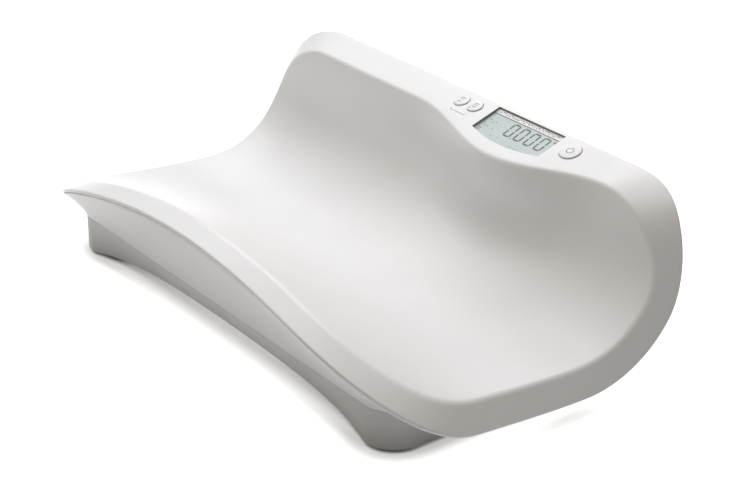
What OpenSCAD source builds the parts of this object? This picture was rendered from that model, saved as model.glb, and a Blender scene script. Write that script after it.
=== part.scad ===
// Digital weighing scale for babies: a long curved trough with a raised deck along its back.
// The deck carries a display, two small buttons and a power button. Millimetres, +Z up.
// The origin is on the ground under the middle, +X to the user's right, +Y to the back wall.

/* [Trough] */
// Half of the trough's length, to its inner edge
trough_half = 286.5; // [275:0.5:300]
// Distance of the front inner edge in front of the origin
trough_front = 147.1; // [140:0.1:150]
// Distance of the lowest line behind the origin
trough_low = 43.9; // [42:0.1:48]
// Height of the lowest line above the ground
floor_low = 40.7; // [40:0.1:44]
// How far the floor climbs from its lowest line to the front
floor_rise = 17.4; // [14:0.1:20]
// Extra height of the front edge at the middle of its arch
lip_arch = 64.7; // [50:0.1:70]
// Length of floor, from the front edge, that the arch reaches
lip_reach = 170; // [160:1:185]
// Horizontal size of the curve from the floor into the back wall
wall_reach = 85.5; // [82:0.5:88]
// Vertical size of that curve
wall_curve = 78; // [74:1:82]
// How far the back wall leans away at its top
wall_lean = 5; // [3:0.5:7]
// Thickness of the upper moulding
tray_wall = 3; // [2.6:0.1:3.2]
// Front corner rounding along the length
front_round_x = 130; // [110:1:140]
// Front corner rounding along the floor
front_round_t = 75; // [65:1:85]
// Back corner rounding along the length
back_round_x = 78; // [72:1:90]
// Back corner rounding up the wall
back_round_t = 84; // [76:1:92]

/* [Rim] */
// How far the rim stands out past the trough at the ends
rim_end_out = 15; // [13:0.5:17]
// Depth of the rim's face under the floor's ends
rim_end_drop = 22; // [20:0.5:24]
// Depth of the rim's face behind the back wall's ends
rim_wall_drop = 17; // [15:0.5:19]
// Width of the ledge along the front
rim_front_out = 24; // [20:0.5:28]
// How far that ledge slopes down
rim_front_drop = 4.5; // [3:0.5:6]
// Depth of the turned edge round the rim
rim_lip = 3.2; // [3.1:0.1:4]
// Size of the broken edges
edge_break = 2.5; // [1.5:0.1:2.6]

/* [Deck] */
// Slope of the deck towards the user, in degrees
deck_tilt = 18; // [16:0.5:20]
// Depth of the deck away from the display, measured level
deck_depth = 35; // [32:0.1:36]
// Height of the deck's back edge
deck_top = 167.2; // [165:0.1:170]
// How far the deck swells forward round the display
bulge_depth = 25; // [22:0.5:27]
// Place of the swelling's middle along the length
bulge_x = 80; // [76:1:84]
// Half of the swelling's length
bulge_half = 132; // [125:1:140]
// Height on the wall where the swelling has died away
bulge_foot = 64; // [55:1:75]

/* [Display] */
// Left edge of the display opening
window_x = 32.8; // [31:0.1:34]
// Length of the display opening
window_l = 92.6; // [90:0.1:94]
// Distance of the opening from the deck's back edge, along the slope
window_s = 4.6; // [4.4:0.1:5.2]
// Depth of the opening at its ends, along the slope
window_d = 35.2; // [34:0.1:36]
// How far the opening's front edge bows out
window_bow = 7; // [6:0.5:8]
// How far the clear pane lies under the deck's face
pane_sink = 1; // [0.8:0.1:1.1]
// Gap between the pane and the opening's edge
pane_fit = 0.15; // [0.1:0.05:0.2]
// Thickness of the clear pane
pane_t = 1.2; // [1:0.1:1.3]
// Thickness of the display glass
glass_t = 2.8; // [2.4:0.1:3]
// Height of a digit
digit_h = 19; // [17:0.5:20]
// Width of a digit
digit_w = 8.3; // [8:0.1:9]
// Distance from one digit to the next
digit_pitch = 13.5; // [13:0.1:14]
// Width of a digit's bars
digit_bar = 1.3; // [1:0.1:1.5]
// Lean of the digits, in degrees
digit_lean = -3; // [-5:1:5]
// Gap between the last digit and the opening's end
digits_right = 8; // [7:0.5:9]
// Gap between the digits' feet and the opening's front corners
digits_up = 7; // [5:0.5:8]

/* [Buttons] */
// Radius of the two small buttons
small_r = 8.1; // [7.8:0.1:8.4]
// Radius of the power button
power_r = 10.7; // [10.2:0.1:11.2]
// Place of the left button along the length
hold_x = -8.2; // [-10:0.1:-8]
// Place of the second button along the length
tare_x = 11.4; // [11.2:0.1:12.4]
// Place of the power button along the length
power_x = 146.6; // [145:0.1:149]
// Distance of the small buttons from the deck's back edge, along the slope
small_s = 17.2; // [16.5:0.1:18.5]
// Distance of the power button from the deck's back edge, along the slope
power_s = 18.8; // [18:0.1:20]
// How far a button stands above the deck
button_proud = 1.5; // [1:0.1:2]
// How far a button moves when pressed
button_travel = 1; // [0.6:0.1:1]
// Gap round a button
button_gap = 0.35; // [0.3:0.05:0.4]
// Radius of a button's stem
stem_r = 2.5; // [2.2:0.1:2.8]

/* [Base] */
// Half of the base's length
base_half = 256; // [253:0.5:258]
// Distance of the base's front face in front of the origin
base_front = 136.8; // [135:0.1:138]
// How far the base's back face stands in from the deck's back edge
back_in = 41.4; // [39:0.1:43]
// Rounding of the base's corners
base_round = 31; // [28:1:33]
// Height of the base's top edge along the front and back
base_top = 38.8; // [38:0.1:39.5]
// Height of the base's top edge at the middle of its ends
base_end_top = 31; // [29:0.5:32]
// Gap between the ground and the base at its corners
base_clear = 3.6; // [3.2:0.1:3.8]
// How far the base's lower edge arches up at the middle
base_arch = 14.2; // [13:0.1:14.2]
// How far the front face leans in, from its top edge to that arch
base_lean = 9.4; // [7:0.1:10]
// Thickness of the base's wall
base_wall = 3; // [2.6:0.1:3.4]
// Height of the underside of the base's floor
floor_z = 18.2; // [17.8:0.1:18.4]
// Thickness of the base's floor
floor_t = 2.5; // [2.3:0.1:2.6]
// Thickness of the sloping lower moulding
hull_wall = 2.5; // [2.2:0.1:2.8]
// Gap between the two mouldings, filled by the seal
seam_gap = 0.7; // [0.6:0.1:0.8]

/* [Feet and load cells] */
// Distance of a foot's middle in from the base's end
foot_in = 46; // [43:1:48]
// Distance of a foot's middle in from the base's front or back
foot_edge = 33.8; // [32:0.1:35]
// Radius of a rubber foot
pad_r = 14; // [12:0.5:15]
// Thickness of a rubber foot
pad_t = 4.5; // [4:0.1:5]
// Radius of a foot's screw
screw_r = 4; // [3:0.5:4]
// Radial clearance of that screw in its socket
screw_fit = 0.06; // [0.04:0.01:0.08]
// Radius of a foot's socket
socket_r = 11; // [9:0.5:12]
// Length of a load cell
cell_l = 60; // [56:1:62]
// Width of a load cell
cell_w = 14; // [12:0.5:15]
// Height of a load cell
cell_h = 8; // [7:0.5:9]
// Gap between the base's floor and a load cell's underside
cell_lift = 2.5; // [2:0.1:3]

/* [Batteries] */
// Radius of a battery
battery_r = 7.2; // [7:0.05:7.25]
// Length of a battery's can
battery_l = 49; // [48:0.5:49.5]
// Place of the battery bay's middle behind the origin
bay_y = 22; // [20:1:26]
// Thickness of the battery door
door_t = 2; // [1.8:0.1:2.2]
// Clearance all round the door in its rails
door_fit = 0.2; // [0.1:0.05:0.3]
// Thickness of the lips that the door slides on
door_lip = 1.2; // [1:0.1:1.4]

/* [Fine detail] */
// Points along half of the front edge
n_front = 9; // [7:1:12]
// Points round a corner
n_corner = 7; // [5:1:9]
// Points up one end between its corners
n_side = 8; // [6:1:10]
// Points along half of the deck
n_deck = 16; // [12:1:20]

/* [Hidden] */
$fn = 48;

// ---- the trough's inner face, as a sheet of points (x, t): t runs from the front edge to the deck
floor_len = trough_low + trough_front;
curve_len = 90 * (wall_reach + wall_curve) / 2 * PI / 180;
wall_y = trough_low + wall_reach;
deck_back = wall_y + wall_lean + deck_depth;
base_back = deck_back - back_in;
deck_front_z = deck_top - deck_depth * tan(deck_tilt);
wall_len = deck_front_z - floor_low - wall_curve;
sheet_len = floor_len + curve_len + wall_len;
sheet_mid = sheet_len / 2;
function unit(v) = v / norm(v);
function clamp01(v) = min(1, max(0, v));
function smooth(v) = v * v * (3 - 2 * v);
function profile(t) =
    t < floor_len
        ? [t - trough_front, floor_low + floor_rise * pow((floor_len - t) / floor_len, 1.5)]
    : t < floor_len + curve_len
        ? let (a = 90 * (t - floor_len) / curve_len)
          [trough_low + wall_reach * sin(a), floor_low + wall_curve * (1 - cos(a))]
    : let (w = (t - floor_len - curve_len) / wall_len)
      [wall_y + wall_lean * w * w, floor_low + wall_curve + w * wall_len];
function bulge(x) = let (u = (x - bulge_x) / bulge_half)
    abs(u) < 1 ? bulge_depth * pow(cos(90 * u), 2) : 0;
function arch(x, t) = t < lip_reach
    ? lip_arch * (1 - pow(x / trough_half, 2)) * pow(1 - t / lip_reach, 1.35) : 0;
function inner(x, t) = let (
        p = profile(t),
        fade = t > floor_len ? smooth(clamp01((p[1] - bulge_foot) / (deck_front_z - bulge_foot))) : 0,
        b = bulge(x) * fade)
    [x, p[0] - b, p[1] + arch(x, t) - b * tan(deck_tilt) * fade];
function inner_normal(x, t) = let (
        a = inner(x + 0.5, t) - inner(x - 0.5, t),
        b = inner(x, min(t + 0.5, sheet_len)) - inner(x, max(t - 0.5, 0)))
    unit(cross(a, b));

// ---- the trough's edge: [x, t, outward x, outward t] from the middle of the front, right half first
function corner(x, t, rx, rt, from, n) = [for (i = [0 : n]) let (
        a = from + 90 * i / n, d = unit([cos(a) / rx, sin(a) / rt]))
    [x + rx * cos(a), t + rt * sin(a), d[0], d[1]]];
half_edge = concat(
    [for (i = [0 : n_front - 1]) [(trough_half - front_round_x) * i / n_front, 0, 0, -1]],
    corner(trough_half - front_round_x, front_round_t, front_round_x, front_round_t, -90, n_corner),
    [for (i = [1 : n_side - 1]) let (span = sheet_len - front_round_t - back_round_t)
        [trough_half, front_round_t + span * i / n_side, 1, 0]],
    corner(trough_half - back_round_x, sheet_len - back_round_t, back_round_x, back_round_t, 0, n_corner),
    [for (i = [1 : n_deck]) [(trough_half - back_round_x) * (1 - i / n_deck), sheet_len, 0, 1]]);
half_n = len(half_edge);
edge = concat(half_edge,
    [for (i = [half_n - 2 : -1 : 1]) let (e = half_edge[i]) [-e[0], e[1], -e[2], e[3]]]);
edge_n = len(edge);
function inset(e, d) = [e[0] - e[2] * d, e[1] - e[3] * d];

// ---- the rim: crease loop, direction across the rim, rim's outer edge and its face normal
function rim_step(e) = let (
        p = inner(e[0], e[1]),
        a = profile(max(e[1] - 0.5, 0)),
        b = profile(min(e[1] + 0.5, sheet_len)),
        g = unit(b - a),
        ends = 1 - e[3] * e[3],
        up = clamp01((e[1] - floor_len) / curve_len),
        drop = (rim_end_drop + (rim_wall_drop - rim_end_drop) * up) * ends,
        front = e[3] < 0 ? pow(-e[3], 0.45) : 0,
        deck = e[3] > 0 ? e[3] * e[3] : 0)
    [sign(e[2]) * rim_end_out * pow(abs(e[2]), 0.45),
     g[1] * drop - rim_front_out * front + (deck_back - p[1]) * deck,
     -g[0] * drop - rim_front_drop * (e[3] < 0 ? e[3] * e[3] : 0) + (deck_top - p[2]) * deck];
crease = [for (e = edge) inner(e[0], e[1])];
across = [for (e = edge) unit(rim_step(e))];
rim = [for (i = [0 : edge_n - 1]) crease[i] + rim_step(edge[i])];
face = [for (i = [0 : edge_n - 1]) let (
        along = crease[(i + 1) % edge_n] - crease[(i + edge_n - 1) % edge_n])
    unit(cross(across[i], along))];
function rim_loop(out, down) = [for (i = [0 : edge_n - 1]) rim[i] + across[i] * out - face[i] * down];
function crease_loop(out, down) = [for (i = [0 : edge_n - 1]) crease[i] + across[i] * out - face[i] * down];
function sheet_ring(r) = [for (e = edge) inner(e[0] * r, sheet_mid + (e[1] - sheet_mid) * r)];
function under_ring(r) = [for (e = edge) let (x = e[0] * r, t = sheet_mid + (e[1] - sheet_mid) * r)
    inner(x, t) - tray_wall * inner_normal(x, t)];
function inset_ring(d, depth) = [for (e = edge) let (q = inset(e, d))
    inner(q[0], q[1]) - depth * inner_normal(q[0], q[1])];

// ---- the base's outline, point for point beside the rim
function base_corner(y, from, n) = [for (i = [0 : n]) let (a = from + 90 * i / n)
    [base_half - base_round + base_round * cos(a), y + base_round * sin(a), cos(a), sin(a)]];
half_base = concat(
    [for (i = [0 : n_front - 1]) [(base_half - base_round) * i / n_front, -base_front, 0, -1]],
    base_corner(base_round - base_front, -90, n_corner),
    [for (i = [1 : n_side - 1]) [base_half,
        base_round - base_front + (base_front + base_back - 2 * base_round) * i / n_side, 1, 0]],
    base_corner(base_back - base_round, 0, n_corner),
    [for (i = [1 : n_deck]) [(base_half - base_round) * (1 - i / n_deck), base_back, 0, 1]]);
base_edge = concat(half_base,
    [for (i = [half_n - 2 : -1 : 1]) let (e = half_base[i]) [-e[0], e[1], -e[2], e[3]]]);
shoulder_x = base_half - base_round;
arch_top = base_clear + base_arch;
// The base's top edge dips under the trough at both ends
function end_height(y) = let (v = (y + base_front - base_round) / (base_front + base_back - 2 * base_round))
    base_top - (base_top - base_end_top) * pow(sin(180 * clamp01(v)), 2);
function base_loop(inward, lift) = [for (e = base_edge)
    [e[0] - e[2] * inward, e[1] - e[3] * inward, (e[3] == 0 ? end_height(e[1]) : base_top) + lift]];
function lean(x, z) =
    base_lean * (base_top - z) / (base_top - arch_top) * (1 - pow(min(1, abs(x) / shoulder_x), 4));
function wall_ring(inward, z) = [for (e = base_edge)
    [e[0] - e[2] * inward, e[1] - e[3] * inward + (e[3] < 0 ? lean(e[0], z) : 0), z]];

// One closed solid through a list of rings; tops and bottoms close in a point, a tube closes on itself
module ring_solid(rings, top, bottom) {
    n = len(rings[0]);
    k = len(rings);
    points = concat([for (r = rings) each r], [top, bottom]);
    side = [for (j = [0 : k - 2]) for (i = [0 : n - 1]) let (a = j * n + i, b = j * n + (i + 1) % n)
        each [[a, b, a + n], [b, b + n, a + n]]];
    caps = concat([for (i = [0 : n - 1]) [k * n, (i + 1) % n, i]],
        [for (i = [0 : n - 1]) [k * n + 1, (k - 1) * n + i, (k - 1) * n + (i + 1) % n]]);
    polyhedron(points, concat(side, caps), convexity = 8);
}
module ring_tube(rings) {
    n = len(rings[0]);
    k = len(rings);
    points = [for (r = rings) each r];
    polyhedron(points, [for (j = [0 : k - 1]) for (i = [0 : n - 1]) let (
            a = j * n + i, b = j * n + (i + 1) % n,
            c = ((j + 1) % k) * n + i, d = ((j + 1) % k) * n + (i + 1) % n)
        each [[a, b, c], [b, d, c]]], convexity = 8);
}

// The deck's own frame: x along the deck, -s down its slope, z out of its face
module on_deck(x = 0, s = 0, z = 0) {
    translate([0, deck_back, deck_top]) rotate([deck_tilt, 0, 0]) translate([x, -s, z]) children();
}
buttons = [[hold_x, small_s, small_r], [tare_x, small_s, small_r], [power_x, power_s, power_r]];

// ---- mouldings
boss_r = 3;
boss_spots = [[-200, 45], [-80, 64], [80, 64], [200, 45], [-110, -24], [110, -24]];
boss_screw_r = 1.25;
boss_screw_l = 14;
function floor_at(x, y) = inner(x, y + trough_front)[2];
module window_outline(grow) {
    mid = window_l / 2;
    bow_r = (mid * mid + window_bow * window_bow) / (2 * window_bow);
    intersection() {
        translate([window_x - grow, -window_s - window_d - window_bow - grow])
            square([window_l + 2 * grow, window_d + window_bow + 2 * grow]);
        translate([window_x + mid, bow_r - window_s - window_d - window_bow])
            circle(r = bow_r + grow, $fn = 160);
    }
}
module tray_shell() color([0.94, 0.94, 0.93]) difference() {
    union() {
        rings = concat(
            [for (r = [0.1 : 0.1 : 0.9]) sheet_ring(r)],
            [sheet_ring(0.95), inset_ring(edge_break, 0), crease_loop(edge_break, 0),
             rim_loop(-edge_break, 0), rim_loop(0, edge_break), rim_loop(0, rim_lip),
             rim_loop(-tray_wall, rim_lip), rim_loop(-tray_wall, tray_wall),
             crease_loop(tray_wall, tray_wall), inset_ring(tray_wall + 1, tray_wall)],
            [for (r = [0.94, 0.86, 0.76, 0.64, 0.5, 0.35, 0.18]) under_ring(r)]);
        centre = inner(0, sheet_mid);
        ring_solid(rings, centre, centre - [0, 0, tray_wall]);
        for (p = boss_spots) translate([p[0], p[1], floor_z + floor_t + 0.2])
            cylinder(r = boss_r, h = floor_at(p[0], p[1]) - tray_wall / 2 - floor_z - floor_t - 0.2);
    }
    on_deck(0, 0, -tray_wall - 2) linear_extrude(tray_wall + 5) window_outline(0);
    for (b = buttons) on_deck(b[0], b[1], -tray_wall - 2) cylinder(r = b[2] + button_gap, h = tray_wall + 5);
    for (p = boss_spots) translate([p[0], p[1], floor_z]) cylinder(r = boss_screw_r, h = boss_screw_l);
}
module rim_seal() color([0.25, 0.25, 0.25])
    ring_tube([rim_loop(-0.7, rim_lip + 0.1), rim_loop(-0.7, rim_lip + seam_gap - 0.1),
        rim_loop(-2.6, rim_lip + seam_gap - 0.1), rim_loop(-2.6, rim_lip + 0.1)]);
module lower_shell() color([0.72, 0.71, 0.69])
    ring_tube([rim_loop(-0.5, rim_lip + seam_gap), base_loop(0, 0.1),
        base_loop(hull_wall, 0.1), rim_loop(-0.5 - hull_wall, rim_lip + seam_gap)]);

// ---- base
foot_x = base_half - foot_in;
foot_front = base_front - foot_edge;
foot_back = base_back - foot_edge;
foot_spots = [[-foot_x, -foot_front], [foot_x, -foot_front], [-foot_x, foot_back], [foot_x, foot_back]];
cell_z = floor_z + floor_t + cell_lift;
socket_gap = 1.5;
bay_l = 2 * battery_l + 8;
bay_w = 6 * battery_r + 4;
door_l = bay_l + 6;
door_w = bay_w + 6;
door_top = floor_z - door_fit;
door_travel = bay_l + 3;
rail_w = 2;
rail_x1 = -door_l / 2 - door_fit;
rail_x2 = door_l / 2 + door_travel;
rail_low = door_top - door_t - door_fit - door_lip;
module base_body(inward, low, high)
    ring_solid([wall_ring(inward, high), wall_ring(inward, low)], [0, 0, high], [0, 0, low]);
// Where a load cell's fixed end is, one screw pitch in from each end
cell_screw_in = 8;
cell_screw_gap = 12;
cell_screw_r = 1.6;
function cell_end(p) = p[0] - sign(p[0]) * (cell_l - cell_w / 2);
function cell_screw_xs(p) = [for (k = [0, 1])
    cell_end(p) + sign(p[0]) * (cell_screw_in + k * cell_screw_gap)];
module base_frame() color([0.6, 0.59, 0.57]) difference() {
    union() {
        difference() {
            base_body(0, base_clear, base_top);
            base_body(base_wall, floor_z + floor_t, base_top + 1);
            base_body(base_wall, 0, floor_z);
            arch_cut();
            end_cut();
        }
        for (p = foot_spots) for (x = cell_screw_xs(p)) translate([x, p[1], floor_z])
            cylinder(r = cell_w / 2 - 1.5, h = floor_t + cell_lift - 0.02);
        for (p = boss_spots) translate([p[0], p[1], floor_z - 2])
            cylinder(r = boss_r + 1.5, h = 2 + floor_t);
        door_rails();
    }
    for (p = foot_spots) translate([p[0], p[1], floor_z - 1])
        cylinder(r = socket_r + socket_gap, h = floor_t + 2);
    for (p = foot_spots) for (x = cell_screw_xs(p)) translate([x, p[1], floor_z - 1])
        cylinder(r = cell_screw_r, h = floor_t + cell_lift + 2);
    for (p = boss_spots) {
        translate([p[0], p[1], floor_z - 3]) cylinder(r = boss_screw_r + 0.25, h = floor_t + 4);
        translate([p[0], p[1], floor_z - 3]) cylinder(r = boss_r, h = 2);
    }
    translate([-bay_l / 2, bay_y - bay_w / 2, floor_z - 1]) cube([bay_l, bay_w, floor_t + 2]);
}
module door_rails() {
    side = door_w / 2 + door_fit;
    high = floor_z + 1 - rail_low;
    for (k = [-1, 1]) {
        translate([rail_x1, bay_y + k * (side + rail_w / 2) - rail_w / 2, rail_low])
            cube([rail_x2 - rail_x1, rail_w, high]);
        translate([rail_x1, bay_y + k * side - rail_w, rail_low])
            cube([rail_x2 - rail_x1, 2 * rail_w, door_lip]);
    }
    translate([rail_x1 - rail_w, bay_y - side - rail_w, rail_low])
        cube([rail_w, 2 * side + 2 * rail_w, high]);
}
module arch_cut() translate([0, base_back + 1, 0]) rotate([90, 0, 0])
    linear_extrude(base_front + base_back + 2) polygon([for (i = [-16 : 16]) let (x = i * shoulder_x / 16)
        [x, base_clear - 1 + (base_arch + 1) * (1 - pow(x / shoulder_x, 2))]]);
module end_cut() translate([-base_half - 1, 0, 0]) rotate([90, 0, 90]) linear_extrude(2 * base_half + 2)
    polygon(concat([for (e = half_base) if (e[2] == 1) [e[1], end_height(e[1])]],
        [[base_back - base_round, base_top + 2], [base_round - base_front, base_top + 2]]));

// ---- display
pane_top = -pane_sink;
pane_low = pane_top - pane_t;
glass_top = pane_low - 0.35;
glass_low = glass_top - glass_t;
board_top = -11;
board_t = 1.6;
strip_d = 6;
strip_in = 0.3;
module display_window() color([0.9, 0.95, 0.95, 0.4])
    on_deck(0, 0, pane_low) linear_extrude(pane_t) window_outline(-pane_fit);
module legend_strip() color("white")
    on_deck(window_x + strip_in, window_s + strip_d, glass_top)
        cube([window_l - 2 * strip_in, strip_d - strip_in, 0.2]);
// Bars of a digit nought in its own square, and the point after the first digit
module digit_bars() {
    w = digit_w;
    h = digit_h;
    b = digit_bar;
    g = 0.35;
    multmatrix([[1, tan(digit_lean), 0, 0], [0, 1, 0, 0], [0, 0, 1, 0]]) {
        for (y = [0, h - b]) translate([b + g, y]) square([w - 2 * b - 2 * g, b]);
        for (x = [0, w - b]) for (y = [b / 2 + g, h / 2 + g / 2]) translate([x, y])
            square([b, h / 2 - b / 2 - 1.5 * g]);
    }
}
digits_x = window_x + window_l - 3 * digit_pitch - digit_w - digits_right;
digits_s = window_s + window_d - digits_up;
module lcd_segments() color([0.35, 0.36, 0.36]) on_deck(0, 0, glass_top) linear_extrude(0.12) {
    for (k = [0 : 3]) translate([digits_x + k * digit_pitch, -digits_s]) digit_bars();
    translate([digits_x + digit_w + 0.7, -digits_s]) square([1.5, 1.5]);
}
module lcd_glass() color([0.79, 0.83, 0.81])
    on_deck(0, 0, glass_low) linear_extrude(glass_t - 0.01) window_outline(-pane_fit);
frame_low = glass_low - 1.6;
module lcd_frame() color([0.2, 0.2, 0.21]) on_deck() {
    difference() {
        translate([0, 0, frame_low]) linear_extrude(-tray_wall - 0.05 - frame_low) difference() {
            window_outline(3);
            translate([window_x - 5, -window_s - 1.4]) square([window_l + 10, 10]);
        }
        translate([0, 0, glass_low - 0.05]) linear_extrude(10) window_outline(0);
    }
    for (x = [window_x + 12, window_x + window_l - 12]) translate([x, -board_mid, board_top + 0.02])
        cylinder(r = 2, h = frame_low - board_top - 0.02);
}

// ---- electronics
riser_x = window_x + 9.5;
plug_h = 5;
plug_low = board_top - board_t - plug_h;
post_r = 2.6;
post_bore = 1;
post_s = deck_depth / cos(deck_tilt) - 4;
small_post = small_r + 2;
power_post = power_r + 2;
left_posts = [[hold_x - small_post, post_s], [tare_x + small_post, post_s]];
right_posts = [[power_x - power_post, post_s], [power_x + power_post, post_s]];
board_edge = 5;
board_x1 = left_posts[0][0] - board_edge;
board_x2 = right_posts[1][0] + board_edge;
board_s1 = small_s - 3.5;
board_s2 = post_s + board_edge;
board_mid = (board_s1 + board_s2) / 2;
plug_s = board_mid;
chip_l = 14;
chip_t = 1.6;
plug_l = 18;
plug_w = 6;
guide_top = -6.5;
guide_t = 1.2;
guide_s = 6;
module main_board() color([0.1, 0.4, 0.25]) on_deck() difference() {
    translate([board_x1, -board_s2, board_top - board_t])
        cube([board_x2 - board_x1, board_s2 - board_s1, board_t]);
    for (p = concat(left_posts, right_posts)) translate([p[0], -p[1], board_top - board_t - 1])
        cylinder(r = post_bore + 0.2, h = board_t + 2);
}
module board_chips() color([0.12, 0.12, 0.13]) on_deck() {
    for (c = [[0.3, 1], [0.6, 0.65], [0.8, 0.45]]) let (l = chip_l * c[1])
        translate([window_x + window_l * c[0], -board_mid - l / 2, board_top - board_t - chip_t])
            cube([l, l, chip_t - 0.01]);
    translate([riser_x - plug_l / 2, -plug_s - plug_w / 2, plug_low]) cube([plug_l, plug_w, plug_h - 0.01]);
}
module board_screws() color([0.75, 0.75, 0.76]) on_deck()
    for (p = concat(left_posts, right_posts)) {
        translate([p[0], -p[1], board_top - board_t - 1.4]) cylinder(r = 2, h = 1.38);
        translate([p[0], -p[1], board_top - board_t - 0.1]) cylinder(r = post_bore - 0.02, h = board_t + 4);
    }
module guide(posts, holes) on_deck() difference() {
    union() {
        x1 = posts[0][0] - post_r - 0.5;
        x2 = posts[1][0] + post_r + 0.5;
        translate([x1, -post_s - post_r, guide_top - guide_t])
            cube([x2 - x1, post_s + post_r - guide_s, guide_t]);
        for (p = posts) translate([p[0], -p[1], board_top + 0.02])
            cylinder(r = post_r, h = -tray_wall - 0.05 - board_top - 0.02);
    }
    for (b = holes) translate([b[0], -b[1], guide_top - guide_t - 1])
        cylinder(r = stem_r + 0.08, h = guide_t + 2);
    for (p = posts) translate([p[0], -p[1], board_top - 1]) cylinder(r = post_bore, h = 6);
}
module guide_left() color([0.85, 0.85, 0.84]) guide(left_posts, [buttons[0], buttons[1]]);
module guide_right() color([0.85, 0.85, 0.84]) guide(right_posts, [buttons[2]]);
module switch_at(b) color([0.15, 0.15, 0.16]) on_deck(b[0], b[1], board_top + 0.02) {
    translate([-3, -3, 0]) cube([6, 6, 0.9]);
    cylinder(r = 1.6, h = 1.6);
}
module switch_hold() switch_at(buttons[0]);
module switch_tare() switch_at(buttons[1]);
module switch_power() switch_at(buttons[2]);
stem_low = board_top + 1.6 + button_travel + 0.15;
module button(b) color([0.95, 0.95, 0.95]) on_deck(b[0], b[1], 0) {
    translate([0, 0, -tray_wall - 0.1]) cylinder(r = b[2], h = tray_wall + 0.1 + button_proud - 0.6);
    translate([0, 0, button_proud - 0.6]) cylinder(r1 = b[2], r2 = b[2] - 0.6, h = 0.6);
    translate([0, 0, -tray_wall - 1.3]) cylinder(r = b[2] + 0.9, h = 1.2);
    translate([0, 0, stem_low]) cylinder(r = stem_r, h = -tray_wall - 1.2 - stem_low);
}
module button_hold() button(buttons[0]);
module button_tare() button(buttons[1]);
module button_power() button(buttons[2]);

// ---- load cells and feet
hole_r = 3;
module load_cell(p) {
    s = sign(p[0]);
    color([0.78, 0.79, 0.8]) difference() {
        translate([s > 0 ? cell_end(p) : cell_end(p) - cell_l, p[1] - cell_w / 2, cell_z])
            cube([cell_l, cell_w, cell_h]);
        for (x = concat(cell_screw_xs(p), [p[0]])) translate([x, p[1], cell_z - 1])
            cylinder(r = cell_screw_r, h = cell_h + 2);
        for (k = [-1, 1]) let (x = (cell_end(p) + p[0]) / 2 + s * (cell_screw_gap + k * 2.6))
            translate([x, p[1] + cell_w, cell_z + cell_h / 2]) rotate([90, 0, 0])
                cylinder(r = hole_r, h = 2 * cell_w);
    }
}
module load_cell_1() load_cell(foot_spots[0]);
module load_cell_2() load_cell(foot_spots[1]);
module load_cell_3() load_cell(foot_spots[2]);
module load_cell_4() load_cell(foot_spots[3]);
socket_low = pad_t + 5.5;
screw_top = cell_z - 2;
module foot_socket(p) color([0.3, 0.3, 0.31]) translate([p[0], p[1], 0]) difference() {
    translate([0, 0, socket_low]) cylinder(r = socket_r, h = cell_z - socket_low - 0.02);
    translate([0, 0, socket_low - 1]) cylinder(r = screw_r + screw_fit, h = cell_z - 0.8 - socket_low);
    translate([0, 0, socket_low - 1]) cylinder(r = cell_screw_r - 0.2, h = cell_z);
}
module foot_socket_1() foot_socket(foot_spots[0]);
module foot_socket_2() foot_socket(foot_spots[1]);
module foot_socket_3() foot_socket(foot_spots[2]);
module foot_socket_4() foot_socket(foot_spots[3]);
seat_r = screw_r + 3;
module foot_screw(p) color([0.72, 0.72, 0.74]) translate([p[0], p[1], 0]) {
    translate([0, 0, pad_t - 1.5]) cylinder(r = seat_r, h = 1.5);
    translate([0, 0, pad_t + 0.6]) cylinder(r = seat_r + 2, h = 2.5, $fn = 6);
    translate([0, 0, pad_t - 0.1]) cylinder(r = screw_r, h = screw_top - pad_t + 0.1);
}
module foot_screw_1() foot_screw(foot_spots[0]);
module foot_screw_2() foot_screw(foot_spots[1]);
module foot_screw_3() foot_screw(foot_spots[2]);
module foot_screw_4() foot_screw(foot_spots[3]);
module foot_pad(p) color([0.16, 0.16, 0.17]) translate([p[0], p[1], 0]) difference() {
    union() {
        cylinder(r1 = pad_r - 0.6, r2 = pad_r, h = 0.6);
        translate([0, 0, 0.6]) cylinder(r = pad_r, h = pad_t - 0.6);
    }
    translate([0, 0, pad_t - 1.52]) cylinder(r = seat_r + 0.08, h = 3);
}
module foot_pad_1() foot_pad(foot_spots[0]);
module foot_pad_2() foot_pad(foot_spots[1]);
module foot_pad_3() foot_pad(foot_spots[2]);
module foot_pad_4() foot_pad(foot_spots[3]);

// ---- batteries
battery_z = floor_z + 0.3 + battery_r;
holder_t = 1.2;
holder_top = battery_z + battery_r + 0.3 + holder_t;
row_pitch = 2 * battery_r + 0.6;
function battery_spot(i) = [(i % 2) - 0.5, floor(i / 2) - 1];
module battery(i) {
    q = battery_spot(i);
    s = q[0] > 0 ? 1 : -1;
    flip = floor(i / 2) % 2 == 0 ? 1 : -1;
    translate([s * (battery_l / 2 + 1.4), bay_y + q[1] * row_pitch, battery_z])
        rotate([0, flip * 90, 0]) {
            color([0.2, 0.35, 0.3]) translate([0, 0, -battery_l / 2])
                cylinder(r = battery_r, h = battery_l - 1);
            color([0.8, 0.8, 0.8]) translate([0, 0, battery_l / 2 - 1.01]) cylinder(r = 2.6, h = 1.9);
        }
}
module battery_1() battery(0);
module battery_2() battery(1);
module battery_3() battery(2);
module battery_4() battery(3);
module battery_5() battery(4);
module battery_6() battery(5);
module battery_holder() color([0.22, 0.22, 0.23]) difference() {
    translate([-bay_l / 2 - holder_t, bay_y - bay_w / 2 - holder_t, floor_z + floor_t + 0.02])
        cube([bay_l + 2 * holder_t, bay_w + 2 * holder_t, holder_top - floor_z - floor_t - 0.02]);
    translate([-bay_l / 2, bay_y - bay_w / 2, floor_z])
        cube([bay_l, bay_w, holder_top - holder_t - floor_z]);
}
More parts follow.
